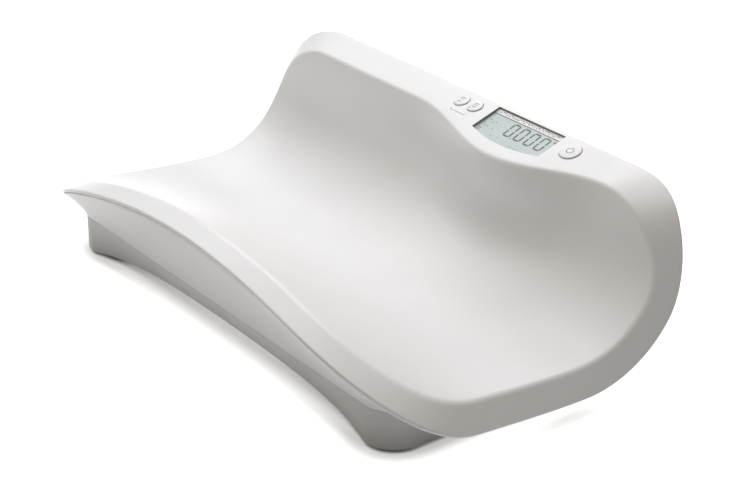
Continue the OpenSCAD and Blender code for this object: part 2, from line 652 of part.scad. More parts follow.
module contacts(s) color([0.8, 0.78, 0.7]) for (k = [-1 : 1])
    translate([s * (bay_l / 2 - 0.3) - 0.25, bay_y + k * row_pitch - 5, battery_z - 5]) cube([0.5, 10, 10]);
module contacts_left() contacts(-1);
module contacts_right() contacts(1);
grip_pitch = 4;
module battery_door() color([0.55, 0.54, 0.52]) difference() {
    translate([-door_l / 2, bay_y - door_w / 2, door_top - door_t]) cube([door_l, door_w, door_t]);
    for (k = [-2 : 2]) translate([door_l / 2 - 20 + k * grip_pitch, bay_y - 12, door_top - door_t - 1])
        cube([grip_pitch / 2, 24, 1.8]);
}

// ---- fasteners and leads
module case_screws() color([0.75, 0.75, 0.76]) for (p = boss_spots) translate([p[0], p[1], 0]) {
    translate([0, 0, floor_z - 2.2]) cylinder(r = boss_r - 0.4, h = 1.18);
    translate([0, 0, floor_z - 1.2]) cylinder(r = boss_screw_r - 0.02, h = boss_screw_l);
}
module cell_screws() color([0.75, 0.75, 0.76]) for (p = foot_spots) {
    for (x = cell_screw_xs(p)) translate([x, p[1], 0]) {
        translate([0, 0, cell_z + cell_h + 0.02]) cylinder(r = 3, h = 2);
        translate([0, 0, floor_z + 0.2]) cylinder(r = cell_screw_r - 0.05, h = cell_z + cell_h - floor_z);
    }
    translate([p[0], p[1], 0]) {
        translate([0, 0, cell_z + cell_h + 0.02]) cylinder(r = 3, h = 2);
        translate([0, 0, cell_z - 1.6]) cylinder(r = cell_screw_r - 0.25, h = cell_h + 2);
    }
}
// A lead of radius r through points given one after another
module lead(points, r) {
    k = len(points);
    rings = [for (i = [0 : k - 1]) let (
            v = unit(unit(points[min(i + 1, k - 1)] - points[max(i - 1, 0)])),
            a = unit(cross(v, [0.5, 0.3, 0.8])), b = cross(v, a))
        [for (j = [0 : 7]) points[i] + r * (cos(45 * j) * a + sin(45 * j) * b)]];
    ring_solid(rings, points[0], points[k - 1]);
}
lead_r = 0.7;
lead_pitch = 1.5;
lead_z = floor_z + floor_t + 1.3;
riser_y = base_back - 14;
function riser(offset) = [
    [riser_x + offset, wall_y - 12, lead_z + 30],
    [riser_x + offset, wall_y + tray_wall + 4, floor_low + wall_curve],
    [riser_x + offset, deck_back - plug_s * cos(deck_tilt) - plug_low * sin(deck_tilt),
        deck_top - plug_s * sin(deck_tilt) + plug_low * cos(deck_tilt) - lead_r]];
module cell_leads() color([0.2, 0.2, 0.22]) for (p = foot_spots) let (
        s = sign(p[0]), k = p[1] > 0 ? 0 : 1, o = (s * 2 + k) * lead_pitch,
        x0 = cell_end(p) - s * (lead_r + 0.5), x1 = x0 - s * (1 + k) * 2 * lead_pitch,
        y1 = riser_y - 2 * k * lead_pitch)
    lead(concat([[x0, p[1], cell_z + cell_h / 2], [x1, p[1] + 3, lead_z], [x1, y1 - 6, lead_z],
        [riser_x + o, y1, lead_z]], riser(o)), lead_r);
module battery_lead() color([0.6, 0.1, 0.1]) let (
        x = bay_l / 2 + holder_t, o = -4.5 * lead_pitch, y = bay_y + bay_w / 2 + holder_t)
    lead(concat([[x + 1.2, bay_y, lead_z + 4], [x + 6, bay_y + 10, lead_z], [x + 2, y + 6, lead_z],
        [riser_x + o, riser_y - 14, lead_z]], riser(o)), 1);

tray_shell();
rim_seal();
lower_shell();
base_frame();
display_window();
legend_strip();
lcd_segments();
lcd_glass();
lcd_frame();
main_board();
board_chips();
board_screws();
guide_left();
guide_right();
switch_hold();
switch_tare();
switch_power();
button_hold();
button_tare();
button_power();
load_cell_1();
load_cell_2();
load_cell_3();
load_cell_4();
foot_socket_1();
foot_socket_2();
foot_socket_3();
foot_socket_4();
foot_screw_1();
foot_screw_2();
foot_screw_3();
foot_screw_4();
foot_pad_1();
foot_pad_2();
foot_pad_3();
foot_pad_4();
battery_holder();
battery_door();
battery_1();
battery_2();
battery_3();
battery_4();
battery_5();
battery_6();
contacts_left();
contacts_right();
case_screws();
cell_screws();
cell_leads();
battery_lead();
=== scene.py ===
"""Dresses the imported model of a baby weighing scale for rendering.

All sizes are in millimetres until a mesh is made, which is in metres, in the model's own frame:
+X to the user's right along the trough, +Y towards the deck along the back, +Z up, ground at Z 0.
"""

import bpy
import mathutils
import numpy as np
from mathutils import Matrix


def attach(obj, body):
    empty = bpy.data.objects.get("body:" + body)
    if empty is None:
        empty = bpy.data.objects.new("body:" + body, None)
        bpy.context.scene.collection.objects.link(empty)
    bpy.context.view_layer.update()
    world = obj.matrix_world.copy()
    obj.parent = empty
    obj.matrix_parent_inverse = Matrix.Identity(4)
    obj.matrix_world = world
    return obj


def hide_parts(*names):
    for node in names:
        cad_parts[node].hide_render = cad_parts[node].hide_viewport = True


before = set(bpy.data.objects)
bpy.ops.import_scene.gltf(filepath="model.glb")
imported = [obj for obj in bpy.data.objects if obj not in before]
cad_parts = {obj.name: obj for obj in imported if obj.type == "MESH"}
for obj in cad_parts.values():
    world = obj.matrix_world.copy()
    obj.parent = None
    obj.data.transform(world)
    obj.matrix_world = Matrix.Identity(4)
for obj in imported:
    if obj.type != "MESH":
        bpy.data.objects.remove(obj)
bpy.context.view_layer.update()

# ---- Upper moulding -------------------------------------------------------------------------
# The one-piece white tray: a long trough whose back wall climbs to a sloping deck, with a wide rim
# all round that turns down in a short lip. It is injection moulded in satin plastic, 3 mm thick.
TROUGH_HALF = 286.5
TROUGH_FRONT = 147.1
TROUGH_LOW = 43.9
FLOOR_LOW = 40.7
FLOOR_RISE = 17.4
LIP_ARCH = 64.7
LIP_REACH = 170.0
WALL_REACH = 85.5
WALL_CURVE = 78.0
WALL_LEAN = 5.0
TRAY_WALL = 3.0
DECK_TILT = np.radians(18.0)
DECK_DEPTH = 35.0
DECK_TOP = 167.2
BULGE_DEPTH = 25.0
BULGE_X = 80.0
BULGE_HALF = 132.0
BULGE_FOOT = 64.0
JOIN_SOFTNESS = 7.0
FLOOR_LENGTH = TROUGH_LOW + TROUGH_FRONT
CURVE_LENGTH = np.pi / 4 * (WALL_REACH + WALL_CURVE)
WALL_FOOT_Y = TROUGH_LOW + WALL_REACH
DECK_BACK = WALL_FOOT_Y + WALL_LEAN + DECK_DEPTH
DECK_FRONT_Z = DECK_TOP - DECK_DEPTH * np.tan(DECK_TILT)
WALL_LENGTH = DECK_FRONT_Z - FLOOR_LOW - WALL_CURVE
SHEET_LENGTH = FLOOR_LENGTH + CURVE_LENGTH + WALL_LENGTH
SHEET_MIDDLE = SHEET_LENGTH / 2


def running_mean(values, softness, step):
    """Averages an evenly spaced line of values with a bell curve of that softness in mm.
    The line is first carried on straight at both ends, so that its ends stay where they are."""
    reach = int(4 * softness / step)
    bell = np.exp(-0.5 * (np.arange(-reach, reach + 1) * step / softness) ** 2)
    count = np.arange(1, reach + 1)
    before = values[0] - (values[1] - values[0]) * count[::-1]
    after = values[-1] + (values[-1] - values[-2]) * count
    return np.convolve(np.concatenate([before, values, after]), bell / bell.sum(), "valid")


def middle_line():
    """The trough's middle line at every quarter millimetre from its front edge to the deck.
    The floor falls with the power 1.5 of the distance to its lowest point, a quarter of an ellipse
    follows, and the wall leans back with the square of its height. Joins are averaged smooth."""
    t = np.linspace(0, SHEET_LENGTH, int(SHEET_LENGTH * 4) + 1)
    step = t[1] - t[0]
    fall = FLOOR_RISE * np.clip((FLOOR_LENGTH - t) / FLOOR_LENGTH, 0, 1) ** 1.5
    turn = np.clip((t - FLOOR_LENGTH) / CURVE_LENGTH, 0, 1) * np.pi / 2
    climb = np.clip((t - FLOOR_LENGTH - CURVE_LENGTH) / WALL_LENGTH, 0, 1)
    y = np.minimum(t, FLOOR_LENGTH) - TROUGH_FRONT + WALL_REACH * np.sin(turn) + WALL_LEAN * climb**2
    z = FLOOR_LOW + fall + WALL_CURVE * (1 - np.cos(turn)) + climb * WALL_LENGTH
    lift = LIP_ARCH * np.clip(1 - t / LIP_REACH, 0, 1) ** 1.35
    return t, *(running_mean(v, JOIN_SOFTNESS, step) for v in (y, z, lift))


LINE_T, LINE_Y, LINE_Z, LINE_LIFT = middle_line()


def trough(x, t):
    """A point of the trough's inner face, x mm along it and t mm up its middle line from the front.
    The front edge is lifted by a parabola along x, and the wall swells forward round the display
    by the square of a cosine along x, more and more from its foot up to the deck."""
    y = np.interp(t, LINE_T, LINE_Y)
    z = np.interp(t, LINE_T, LINE_Z)
    climb = np.clip((z - BULGE_FOOT) / (DECK_FRONT_Z - BULGE_FOOT), 0, 1)
    climb = climb * climb * (3 - 2 * climb)
    swell = np.cos(np.clip((x - BULGE_X) / BULGE_HALF, -1, 1) * np.pi / 2) ** 2 * BULGE_DEPTH * climb
    z = z + np.interp(t, LINE_T, LINE_LIFT) * (1 - (x / TROUGH_HALF) ** 2)
    return np.stack([x + 0 * t, y - swell, z - swell * np.tan(DECK_TILT) * climb], -1)


def unit(v):
    """Each vector of an array made 1 long."""
    return v / np.linalg.norm(v, axis=-1, keepdims=True)


def trough_normal(x, t):
    """The inner face's upward normal, from the slopes along x and along t."""
    low = np.maximum(t - 0.5, 0)
    high = np.minimum(t + 0.5, SHEET_LENGTH)
    return unit(np.cross(trough(x + 0.5, t) - trough(x - 0.5, t), trough(x, high) - trough(x, low)))


FRONT_ROUND = (130.0, 75.0)
BACK_ROUND = (78.0, 84.0)
FRONT_POINTS, CORNER_POINTS, SIDE_POINTS, DECK_POINTS = 40, 40, 40, 96


def edge_corner(x, t, size, start):
    """A quarter of an ellipse of that size from the angle start, with its outward direction."""
    a = start + np.linspace(0, np.pi / 2, CORNER_POINTS + 1)
    point = np.stack([x + size[0] * np.cos(a), t + size[1] * np.sin(a)], -1)
    return np.concatenate([point, unit(np.stack([np.cos(a) / size[0], np.sin(a) / size[1]], -1))], 1)


def mirrored(half):
    """A right-hand half outline followed by its mirror image, so that both make one closed loop."""
    other = half[-2:0:-1] * np.array([-1, 1, -1, 1])
    return np.concatenate([half, other])


def trough_edge():
    """The trough's edge as a loop of (x, t, outward x, outward t), from the middle of the front to
    the right: a straight front, a wide elliptical corner, a straight end, a tighter one, the deck."""
    front_x = TROUGH_HALF - FRONT_ROUND[0]
    back_x = TROUGH_HALF - BACK_ROUND[0]
    back_t = SHEET_LENGTH - BACK_ROUND[1]
    along = np.arange(FRONT_POINTS)[:, None] / FRONT_POINTS
    front = along * [front_x, 0, 0, 0] + [0, 0, 0, -1]
    up = np.arange(1, SIDE_POINTS)[:, None] / SIDE_POINTS
    end = up * [0, back_t - FRONT_ROUND[1], 0, 0] + [TROUGH_HALF, FRONT_ROUND[1], 1, 0]
    back = np.arange(1, DECK_POINTS + 1)[:, None] / DECK_POINTS
    deck = back * [-back_x, 0, 0, 0] + [back_x, SHEET_LENGTH, 0, 1]
    return mirrored(np.concatenate([
        front, edge_corner(front_x, FRONT_ROUND[1], FRONT_ROUND, -np.pi / 2), end,
        edge_corner(back_x, back_t, BACK_ROUND, 0), deck]))


EDGE = trough_edge()
RIM_END_OUT = 15.0
RIM_END_DROP = 22.0
RIM_WALL_DROP = 17.0
RIM_FRONT_OUT = 24.0
RIM_FRONT_DROP = 4.5
RIM_LIP = 3.2
RIM_SPREAD = 0.45
RIM_SOFTNESS = 6


def round_mean(loop, points):
    """Averages a closed loop of values with a bell curve, that many points wide."""
    bell = np.exp(-0.5 * (np.arange(-4 * points, 4 * points + 1) / points) ** 2)
    padded = np.concatenate([loop[-4 * points:], loop, loop[:4 * points]])
    return np.convolve(padded, bell / bell.sum(), "valid")


def rim_step(edge):
    """The step from the trough's edge to the rim's outer edge. At the ends it goes out and down
    square to the middle line, along the front it is a ledge, and at the back it ends at the deck's
    straight back edge. The share of each follows the edge's outward direction."""
    x, t, out_x, out_t = edge.T
    point = trough(x, t)
    slope = np.stack([np.gradient(LINE_Y, LINE_T), np.gradient(LINE_Z, LINE_T)])
    g = np.array([np.interp(t, LINE_T, s) for s in slope])
    g = g / np.hypot(*g)
    ends = 1 - out_t**2
    climb = np.clip((t - FLOOR_LENGTH) / CURVE_LENGTH, 0, 1)
    drop = (RIM_END_DROP + (RIM_WALL_DROP - RIM_END_DROP) * climb) * ends
    sideways = round_mean(np.sign(out_x) * np.abs(out_x) ** RIM_SPREAD, RIM_SOFTNESS)
    front = round_mean(np.clip(-out_t, 0, 1) ** RIM_SPREAD, RIM_SOFTNESS)
    down = RIM_FRONT_DROP * np.clip(-out_t, 0, 1) ** 2
    deck = np.clip(out_t, 0, 1) ** 2
    return np.stack([
        sideways * RIM_END_OUT,
        g[1] * drop - RIM_FRONT_OUT * front + (DECK_BACK - point[:, 1]) * deck,
        -g[0] * drop - down + (DECK_TOP - point[:, 2]) * deck], -1)


CREASE = trough(EDGE[:, 0], EDGE[:, 1])
ACROSS = unit(rim_step(EDGE))
RIM = CREASE + rim_step(EDGE)
FACE = unit(np.cross(ACROSS, np.roll(CREASE, -1, 0) - np.roll(CREASE, 1, 0)))


def rim_loop(out, down):
    """The rim's outer edge moved out across the rim and down square to its face, in mm."""
    return RIM + ACROSS * out - FACE * down


def crease_loop(out, down):
    """The edge between trough and rim, moved the same way."""
    return CREASE + ACROSS * out - FACE * down


def inset_loop(inward, depth):
    """A line on the trough's inner face, that far in from its edge and that deep under the face."""
    x, t = EDGE[:, 0] - EDGE[:, 2] * inward, EDGE[:, 1] - EDGE[:, 3] * inward
    return trough(x, t) - depth * trough_normal(x, t)


def shrunk_loops(shares, depth):
    """Copies of the edge drawn in towards the trough's middle, one for each share of its size."""
    x = EDGE[:, 0] * shares[:, None]
    t = SHEET_MIDDLE + (EDGE[:, 1] - SHEET_MIDDLE) * shares[:, None]
    return trough(x, t) - depth * trough_normal(x, t)


def eased(before, corner, after, steps):
    """Loops that round off a corner with a parabola from before to after, its ends left out."""
    w = np.linspace(0, 1, steps + 1)[1:-1, None, None]
    return (1 - w) ** 2 * before + 2 * w * (1 - w) * corner + w**2 * after


def between(first, last, steps):
    """Evenly spaced loops from first to last, both included."""
    w = np.linspace(0, 1, steps + 1)[:, None, None]
    return (1 - w) * first + w * last


def mesh_piece(name, points, faces, *materials, smooth=40):
    """A mesh object from points in mm, smooth but for edges sharper than that many degrees."""
    mesh = bpy.data.meshes.new(name)
    mesh.from_pydata((np.asarray(points) * 0.001).tolist(), [], faces)
    piece = bpy.data.objects.new(name, mesh)
    bpy.context.scene.collection.objects.link(piece)
    for material in materials:
        mesh.materials.append(material)
    mesh.shade_smooth()
    mesh.set_sharp_from_angle(angle=np.radians(smooth))
    return piece


def ring_faces(rings, around, wrap=False):
    """Four-sided faces between rings of that many points, and from the last to the first if asked.
    Rings that turn to the left seen from above, each outside or below the one before, face out."""
    ring = np.arange(rings if wrap else rings - 1)[:, None] * around
    here = np.arange(around)
    there = (here + 1) % around
    above = (ring + around) % (rings * around)
    faces = np.stack([ring + here, above + here, above + there, ring + there], -1)
    return faces.reshape(-1, 4).tolist()


def closed_piece(name, rings, *materials, smooth=40):
    """A closed solid through a stack of rings, with a point in the middle of the first and last."""
    count, around = rings.shape[:2]
    first, last = count * around, (count - 1) * around
    here = np.arange(around)
    there = (here + 1) % around
    top = np.stack([here * 0 + first, here, there], -1).tolist()
    bottom = np.stack([here * 0 + first + 1, last + there, last + here], -1).tolist()
    points = np.concatenate([rings.reshape(-1, 3), [rings[0].mean(0), rings[-1].mean(0)]])
    return mesh_piece(name, points, ring_faces(count, around) + top + bottom, *materials, smooth=smooth)


def carved(piece, *cutters):
    """Cuts solids out of a piece for good. The cut faces keep the cutters' own material."""
    for cutter in cutters:
        cut = piece.modifiers.new("cut", "BOOLEAN")
        cut.solver = "EXACT"
        cut.material_mode = "TRANSFER"
        cut.object = cutter
    mesh = bpy.data.meshes.new_from_object(piece.evaluated_get(bpy.context.evaluated_depsgraph_get()))
    piece.modifiers.clear()
    piece.data = mesh
    mesh.shade_smooth()
    mesh.set_sharp_from_angle(angle=np.radians(40))
    for cutter in cutters:
        bpy.data.objects.remove(cutter)
    return piece


def satin_plastic(name, colour, roughness=0.42, grain=0.00002, variation=0.02):
    """Moulded plastic: a fine sparkle of grain in the surface, broad faint drifts of colour from the
    flow of the melt, and a gloss that wanders a little as it does where hands have rubbed it."""
    material = bpy.data.materials.new(name)
    material.use_nodes = True
    nodes, links = material.node_tree.nodes, material.node_tree.links
    shader = nodes["Principled BSDF"]
    place = nodes.new("ShaderNodeTexCoord").outputs["Object"]

    def noise(scale, detail):
        """Noise of that many features a metre."""
        texture = nodes.new("ShaderNodeTexNoise")
        texture.inputs["Scale"].default_value = scale
        texture.inputs["Detail"].default_value = detail
        links.new(place, texture.inputs["Vector"])
        return texture.outputs["Fac"]

    def spread(value, low, high):
        """Stretches a value from 0.3..0.7 to low..high."""
        node = nodes.new("ShaderNodeMapRange")
        node.inputs["From Min"].default_value = 0.3
        node.inputs["From Max"].default_value = 0.7
        node.inputs["To Min"].default_value = low
        node.inputs["To Max"].default_value = high
        links.new(value, node.inputs["Value"])
        return node.outputs["Result"]

    tint = nodes.new("ShaderNodeMix")
    tint.data_type = "RGBA"
    tint.inputs["A"].default_value = (*[c * (1 - variation) for c in colour], 1)
    tint.inputs["B"].default_value = (*[min(1, c * (1 + variation)) for c in colour], 1)
    links.new(spread(noise(9, 3), 0, 1), tint.inputs["Factor"])
    links.new(tint.outputs["Result"], shader.inputs["Base Color"])
    links.new(spread(noise(35, 4), roughness - 0.04, roughness + 0.04), shader.inputs["Roughness"])
    bump = nodes.new("ShaderNodeBump")
    bump.inputs["Distance"].default_value = grain
    bump.inputs["Strength"].default_value = 0.6
    links.new(noise(1800, 2), bump.inputs["Height"])
    links.new(bump.outputs["Normal"], shader.inputs["Normal"])
    shader.inputs["IOR"].default_value = 1.46
    return material


WHITE = satin_plastic("white_moulding", (0.86, 0.853, 0.845))
# Painted shade: the walls of the display and button openings are cut through the white tray, and they
# take this dark grey in place of the shade inside them.
RECESS_SHADE = satin_plastic("painted_recess_shade", (0.32, 0.305, 0.285), 0.5)
CREASE_EASE = 4.0
DECK_EASE = 3.2
RIM_EASE = 2.2
LIP_EASE = 0.6


def tray_rings():
    """The moulding's whole skin as loops: over the trough's face, round its edge, across the rim,
    round the lip, and back under the rim and the floor, 3 mm inside the first."""
    ease = CREASE_EASE + (DECK_EASE - CREASE_EASE) * np.clip(EDGE[:, 3:], 0, 1)
    inside = trough(EDGE[:, 0] - EDGE[:, 2] * ease[:, 0], EDGE[:, 1] - EDGE[:, 3] * ease[:, 0])
    outside = CREASE + ACROSS * ease
    shares = np.linspace(0.015, 1, 66)[:-1]
    lip_low = rim_loop(0, RIM_LIP)
    lip_in = rim_loop(-TRAY_WALL, RIM_LIP)
    return np.concatenate([
        shrunk_loops(shares[shares < 0.975], 0),
        inside[None], eased(inside, CREASE, outside, 8),
        between(outside, rim_loop(-RIM_EASE, 0), 10),
        eased(rim_loop(-RIM_EASE, 0), RIM, rim_loop(0, RIM_EASE), 6),
        between(rim_loop(0, RIM_EASE), rim_loop(0, RIM_LIP - LIP_EASE), 2),
        eased(rim_loop(0, RIM_LIP - LIP_EASE), lip_low, rim_loop(-LIP_EASE, RIM_LIP), 3),
        between(rim_loop(-LIP_EASE, RIM_LIP), lip_in, 2),
        between(rim_loop(-TRAY_WALL, TRAY_WALL), crease_loop(TRAY_WALL, TRAY_WALL), 5),
        inset_loop(TRAY_WALL + 1, TRAY_WALL)[None],
        shrunk_loops(np.linspace(0.96, 0.02, 20), TRAY_WALL)])


def on_deck(points):
    """Points (x, distance up the deck from its back edge, height over it) put into the frame."""
    x, up, out = np.moveaxis(np.asarray(points, float), -1, 0)
    return np.stack([
        x, DECK_BACK + up * np.cos(DECK_TILT) - out * np.sin(DECK_TILT),
        DECK_TOP + up * np.sin(DECK_TILT) + out * np.cos(DECK_TILT)], -1)


WINDOW_X = 32.8
WINDOW_LENGTH = 92.6
WINDOW_BACK = 4.6
WINDOW_DEPTH = 35.2
WINDOW_BOW = 7.0


def window_outline(grow):
    """The display opening as seen square to the deck: three straight sides and a front that bows
    out as an arc of a circle through the corners, all moved out by grow."""
    half = WINDOW_LENGTH / 2
    radius = (half**2 + WINDOW_BOW**2) / (2 * WINDOW_BOW)
    spread = np.arcsin((half + grow) / (radius + grow))
    a = np.linspace(-spread, spread, 33)
    middle = -WINDOW_BACK - WINDOW_DEPTH - WINDOW_BOW + radius
    arc = np.stack([WINDOW_X + half + (radius + grow) * np.sin(a),
                    middle - (radius + grow) * np.cos(a)], -1)
    back = -WINDOW_BACK + grow
    return np.concatenate([arc, [[arc[-1, 0], back], [arc[0, 0], back]]])


def plates(name, outlines, low, high, *materials):
    """Flat pieces on the deck, all in one mesh: each outline of (x, distance up the deck) is
    carried straight from the height low to high over the deck."""
    outlines = np.asarray(outlines, float)
    count, around = outlines.shape[:2]
    points = np.concatenate([on_deck(np.insert(outlines, 2, h, 2)) for h in (low, high)], 1)
    here = np.arange(around)
    there = (here + 1) % around
    start = np.arange(count)[:, None, None] * 2 * around
    sides = start + np.stack([here, there, there + around, here + around], -1)
    caps = start[:, 0] + np.concatenate([here[::-1], here + around])
    return mesh_piece(name, points.reshape(-1, 3),
                      sides.reshape(-1, 4).tolist() + caps.reshape(-1, around).tolist(), *materials)


def disc(x, up, radius, points=72):
    """A round outline on the deck."""
    a = np.arange(points) / points * 2 * np.pi
    return np.stack([x + radius * np.cos(a), up + radius * np.sin(a)], -1)


HOLD = (-8.2, -17.2, 8.1)
TARE = (11.4, -17.2, 8.1)
POWER = (146.6, -18.8, 10.7)
BUTTON_GAP = 0.35
BOSSES = np.array([[-200, 45], [-80, 64], [80, 64], [200, 45], [-110, -24], [110, -24]], float)
BOSS_RADIUS, BOSS_FOOT = 3.0, 20.9

tray = closed_piece("tray", tray_rings(), WHITE)
# The openings' walls keep the cutters' dark grey. This is painted shade in the recess and in the button
# grooves.
carved(tray,
       plates("window_cut", [window_outline(0)], -TRAY_WALL - 2, 2, RECESS_SHADE),
       plates("button_cuts", [disc(x, up, r + BUTTON_GAP) for x, up, r in (HOLD, TARE, POWER)],
              -TRAY_WALL - 2, 2, RECESS_SHADE))
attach(tray, "scale")
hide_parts("tray_shell")


def post(x, y, radii, heights, points=32):
    """Rings of an upright turned piece at (x, y), one for each radius and height."""
    a = np.arange(points) / points * 2 * np.pi
    radii, heights = np.asarray(radii, float)[:, None], np.asarray(heights, float)[:, None]
    return np.stack([x + radii * np.cos(a), y + radii * np.sin(a), heights + 0 * a], -1)


for number, (x, y) in enumerate(BOSSES, 1):
    # A screw boss under the trough: a tapered post moulded on its underside.
    top = trough(x, y + TROUGH_FRONT)[2] - TRAY_WALL / 2
    rings = post(x, y, [0.3, 3.4, BOSS_RADIUS, BOSS_RADIUS - 0.4, 0.3],
                 [top, top, BOSS_FOOT + 4, BOSS_FOOT, BOSS_FOOT])
    boss = closed_piece(f"tray_boss_{number}", rings, WHITE)
    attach(boss, "scale")

# ---- Rim seal -------------------------------------------------------------------------------
# A thin rubber cord pressed into the seam between the upper and the lower moulding. It keeps
# water out when the scale is wiped. Its dark colour is painted shade that stands for the shadow in the
# seam, and shows as a fine dark line under the rim.
SEAM_GAP = 0.7
SEAL_SET_BACK = 0.7
SEAL_DEPTH = 1.9


def rubber(name, colour, roughness=0.75):
    """Moulded rubber: dull, with a fine pitted grain and paler dusty drifts."""
    return satin_plastic(name, colour, roughness, 0.00005, 0.12)


# Painted shade: the cord is near black so that the seam reads as a shadowed gap.
SEAM_SHADE_RUBBER = rubber("seal_rubber_painted_shade", (0.2, 0.19, 0.18))
seal_rings = np.stack([
    rim_loop(-SEAL_SET_BACK, RIM_LIP + 0.1), rim_loop(-SEAL_SET_BACK + 0.12, RIM_LIP + SEAM_GAP / 2),
    rim_loop(-SEAL_SET_BACK, RIM_LIP + SEAM_GAP - 0.1),
    rim_loop(-SEAL_SET_BACK - SEAL_DEPTH, RIM_LIP + SEAM_GAP - 0.1),
    rim_loop(-SEAL_SET_BACK - SEAL_DEPTH, RIM_LIP + 0.1)])
seal = mesh_piece("seam_seal", seal_rings.reshape(-1, 3),
                  ring_faces(len(seal_rings), len(EDGE), wrap=True), SEAM_SHADE_RUBBER)
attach(seal, "scale")
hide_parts("rim_seal")

# ---- Lower moulding -------------------------------------------------------------------------
# The sloping hull between the rim and the base, moulded in the same plastic with a finer grain.
# Straight lines run from each point of the seam to the base's top edge. It is screwed from below.
BASE_HALF = 256.0
BASE_FRONT = 136.8
BASE_BACK = DECK_BACK - 41.4
BASE_ROUND = 31.0
BASE_TOP = 38.8
BASE_END_TOP = 31.0
HULL_WALL = 2.5
HULL_SET_BACK = 0.5
HULL_OVER_BASE = 0.1
HULL_EDGE_SHARE = 0.02


def base_outline():
    """The base's outline as a loop of (x, y, outward x, outward y), with as many points in each
    stretch as the trough's edge has, so that the hull joins the two point for point."""
    side_x = BASE_HALF - BASE_ROUND
    front_y, back_y = BASE_ROUND - BASE_FRONT, BASE_BACK - BASE_ROUND

    def round_corner(y, start):
        """A quarter of a circle from the angle start, with its outward direction."""
        a = start + np.linspace(0, np.pi / 2, CORNER_POINTS + 1)[:, None]
        out = np.concatenate([np.cos(a), np.sin(a)], 1)
        return np.concatenate([[side_x, y] + BASE_ROUND * out, out], 1)

    along = np.arange(FRONT_POINTS)[:, None] / FRONT_POINTS
    front = along * [side_x, 0, 0, 0] + [0, -BASE_FRONT, 0, -1]
    up = np.arange(1, SIDE_POINTS)[:, None] / SIDE_POINTS
    end = up * [0, back_y - front_y, 0, 0] + [BASE_HALF, front_y, 1, 0]
    across = np.arange(1, DECK_POINTS + 1)[:, None] / DECK_POINTS
    back = across * [-side_x, 0, 0, 0] + [side_x, BASE_BACK, 0, 1]
    return mirrored(np.concatenate(
        [front, round_corner(front_y, -np.pi / 2), end, round_corner(back_y, 0), back]))


BASE = base_outline()


def base_height():
    """Height of the base's top edge at each point: level, but dipping at both ends as the square of
    a sine, to pass under the trough."""
    straight = BASE_FRONT + BASE_BACK - 2 * BASE_ROUND
    share = np.clip((BASE[:, 1] + BASE_FRONT - BASE_ROUND) / straight, 0, 1)
    return BASE_TOP - (BASE_TOP - BASE_END_TOP) * np.sin(np.pi * share) ** 2 * (BASE[:, 3] == 0)


def base_loop(inward, height):
    """The base's outline moved in, at a height that is a number or one for each point."""
    return np.column_stack([BASE[:, :2] - BASE[:, 2:] * inward, height + np.zeros(len(BASE))])


HULL_GREY = satin_plastic("hull_moulding", (0.83, 0.828, 0.825), 0.5, 0.00003)
seam = rim_loop(-HULL_SET_BACK, RIM_LIP + SEAM_GAP)
foot = base_loop(0, base_height() + HULL_OVER_BASE)
foot_in = base_loop(HULL_WALL, base_height() + HULL_OVER_BASE)
seam_in = rim_loop(-HULL_SET_BACK - HULL_WALL, RIM_LIP + SEAM_GAP)
edge_end = (1 - HULL_EDGE_SHARE) * seam + HULL_EDGE_SHARE * foot
hull_rings = np.concatenate([
    eased(seam_in, seam, edge_end, 3), between(edge_end, foot, 12), foot_in[None], seam_in[None]])
hull = mesh_piece("hull", hull_rings.reshape(-1, 3),
                  ring_faces(len(hull_rings), len(EDGE), wrap=True), HULL_GREY)
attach(hull, "scale")
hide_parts("lower_shell")

# ---- Base -----------------------------------------------------------------------------------
# The stiff frame that the load cells are screwed to, in a grey darker than the tray's that is painted
# shade: a skirt whose lower edge arches up between the feet, a floor with the battery bay in it, and
# two rails that the battery door slides between.
BASE_CLEAR = 3.6
BASE_ARCH = 14.2
BASE_LEAN = 9.4
BASE_WALL = 3.0
FLOOR_Z = 18.2
FLOOR_T = 2.5
FOOT_IN, FOOT_EDGE = 46.0, 33.8
FEET = np.array([[side * (BASE_HALF - FOOT_IN), y]
                 for y in (FOOT_EDGE - BASE_FRONT, BASE_BACK - FOOT_EDGE) for side in (-1, 1)])
SOCKET_OPENING = 12.5
CELL_HOLE, CASE_HOLE, CASE_HEAD = 1.6, 1.5, 3.0
CELL_SCREWS_IN = (45, 33)
BAY_Y, BAY_LENGTH, BAY_WIDTH = 22.0, 106.0, 47.2
EDGE_EASE = 0.8


def base_low():
    """Height of the skirt's lower edge: a parabola between the corners, and level round them."""
    share = BASE[:, 0] / (BASE_HALF - BASE_ROUND)
    return np.maximum(BASE_CLEAR, BASE_CLEAR - 1 + (BASE_ARCH + 1) * (1 - share**2))


def skirt_loop(inward, height):
    """The base's outline moved in, with its front face leaning in below its top edge: evenly with
    the depth, and along the face by one less the fourth power of the distance from the middle."""
    loop = base_loop(inward, height)
    share = np.clip(np.abs(BASE[:, 0]) / (BASE_HALF - BASE_ROUND), 0, 1)
    depth = (BASE_TOP - loop[:, 2]) / (BASE_TOP - BASE_CLEAR - BASE_ARCH)
    loop[:, 1] += BASE_LEAN * depth * (1 - share**4) * (BASE[:, 3] < 0)
    return loop


def base_shrunk(share, z):
    """The floor's outline drawn in towards its middle."""
    loop = skirt_loop(BASE_WALL, z)
    middle = np.array([0, (BASE_BACK - BASE_FRONT) / 2])
    loop[:, :2] = middle + (loop[:, :2] - middle) * share
    return loop


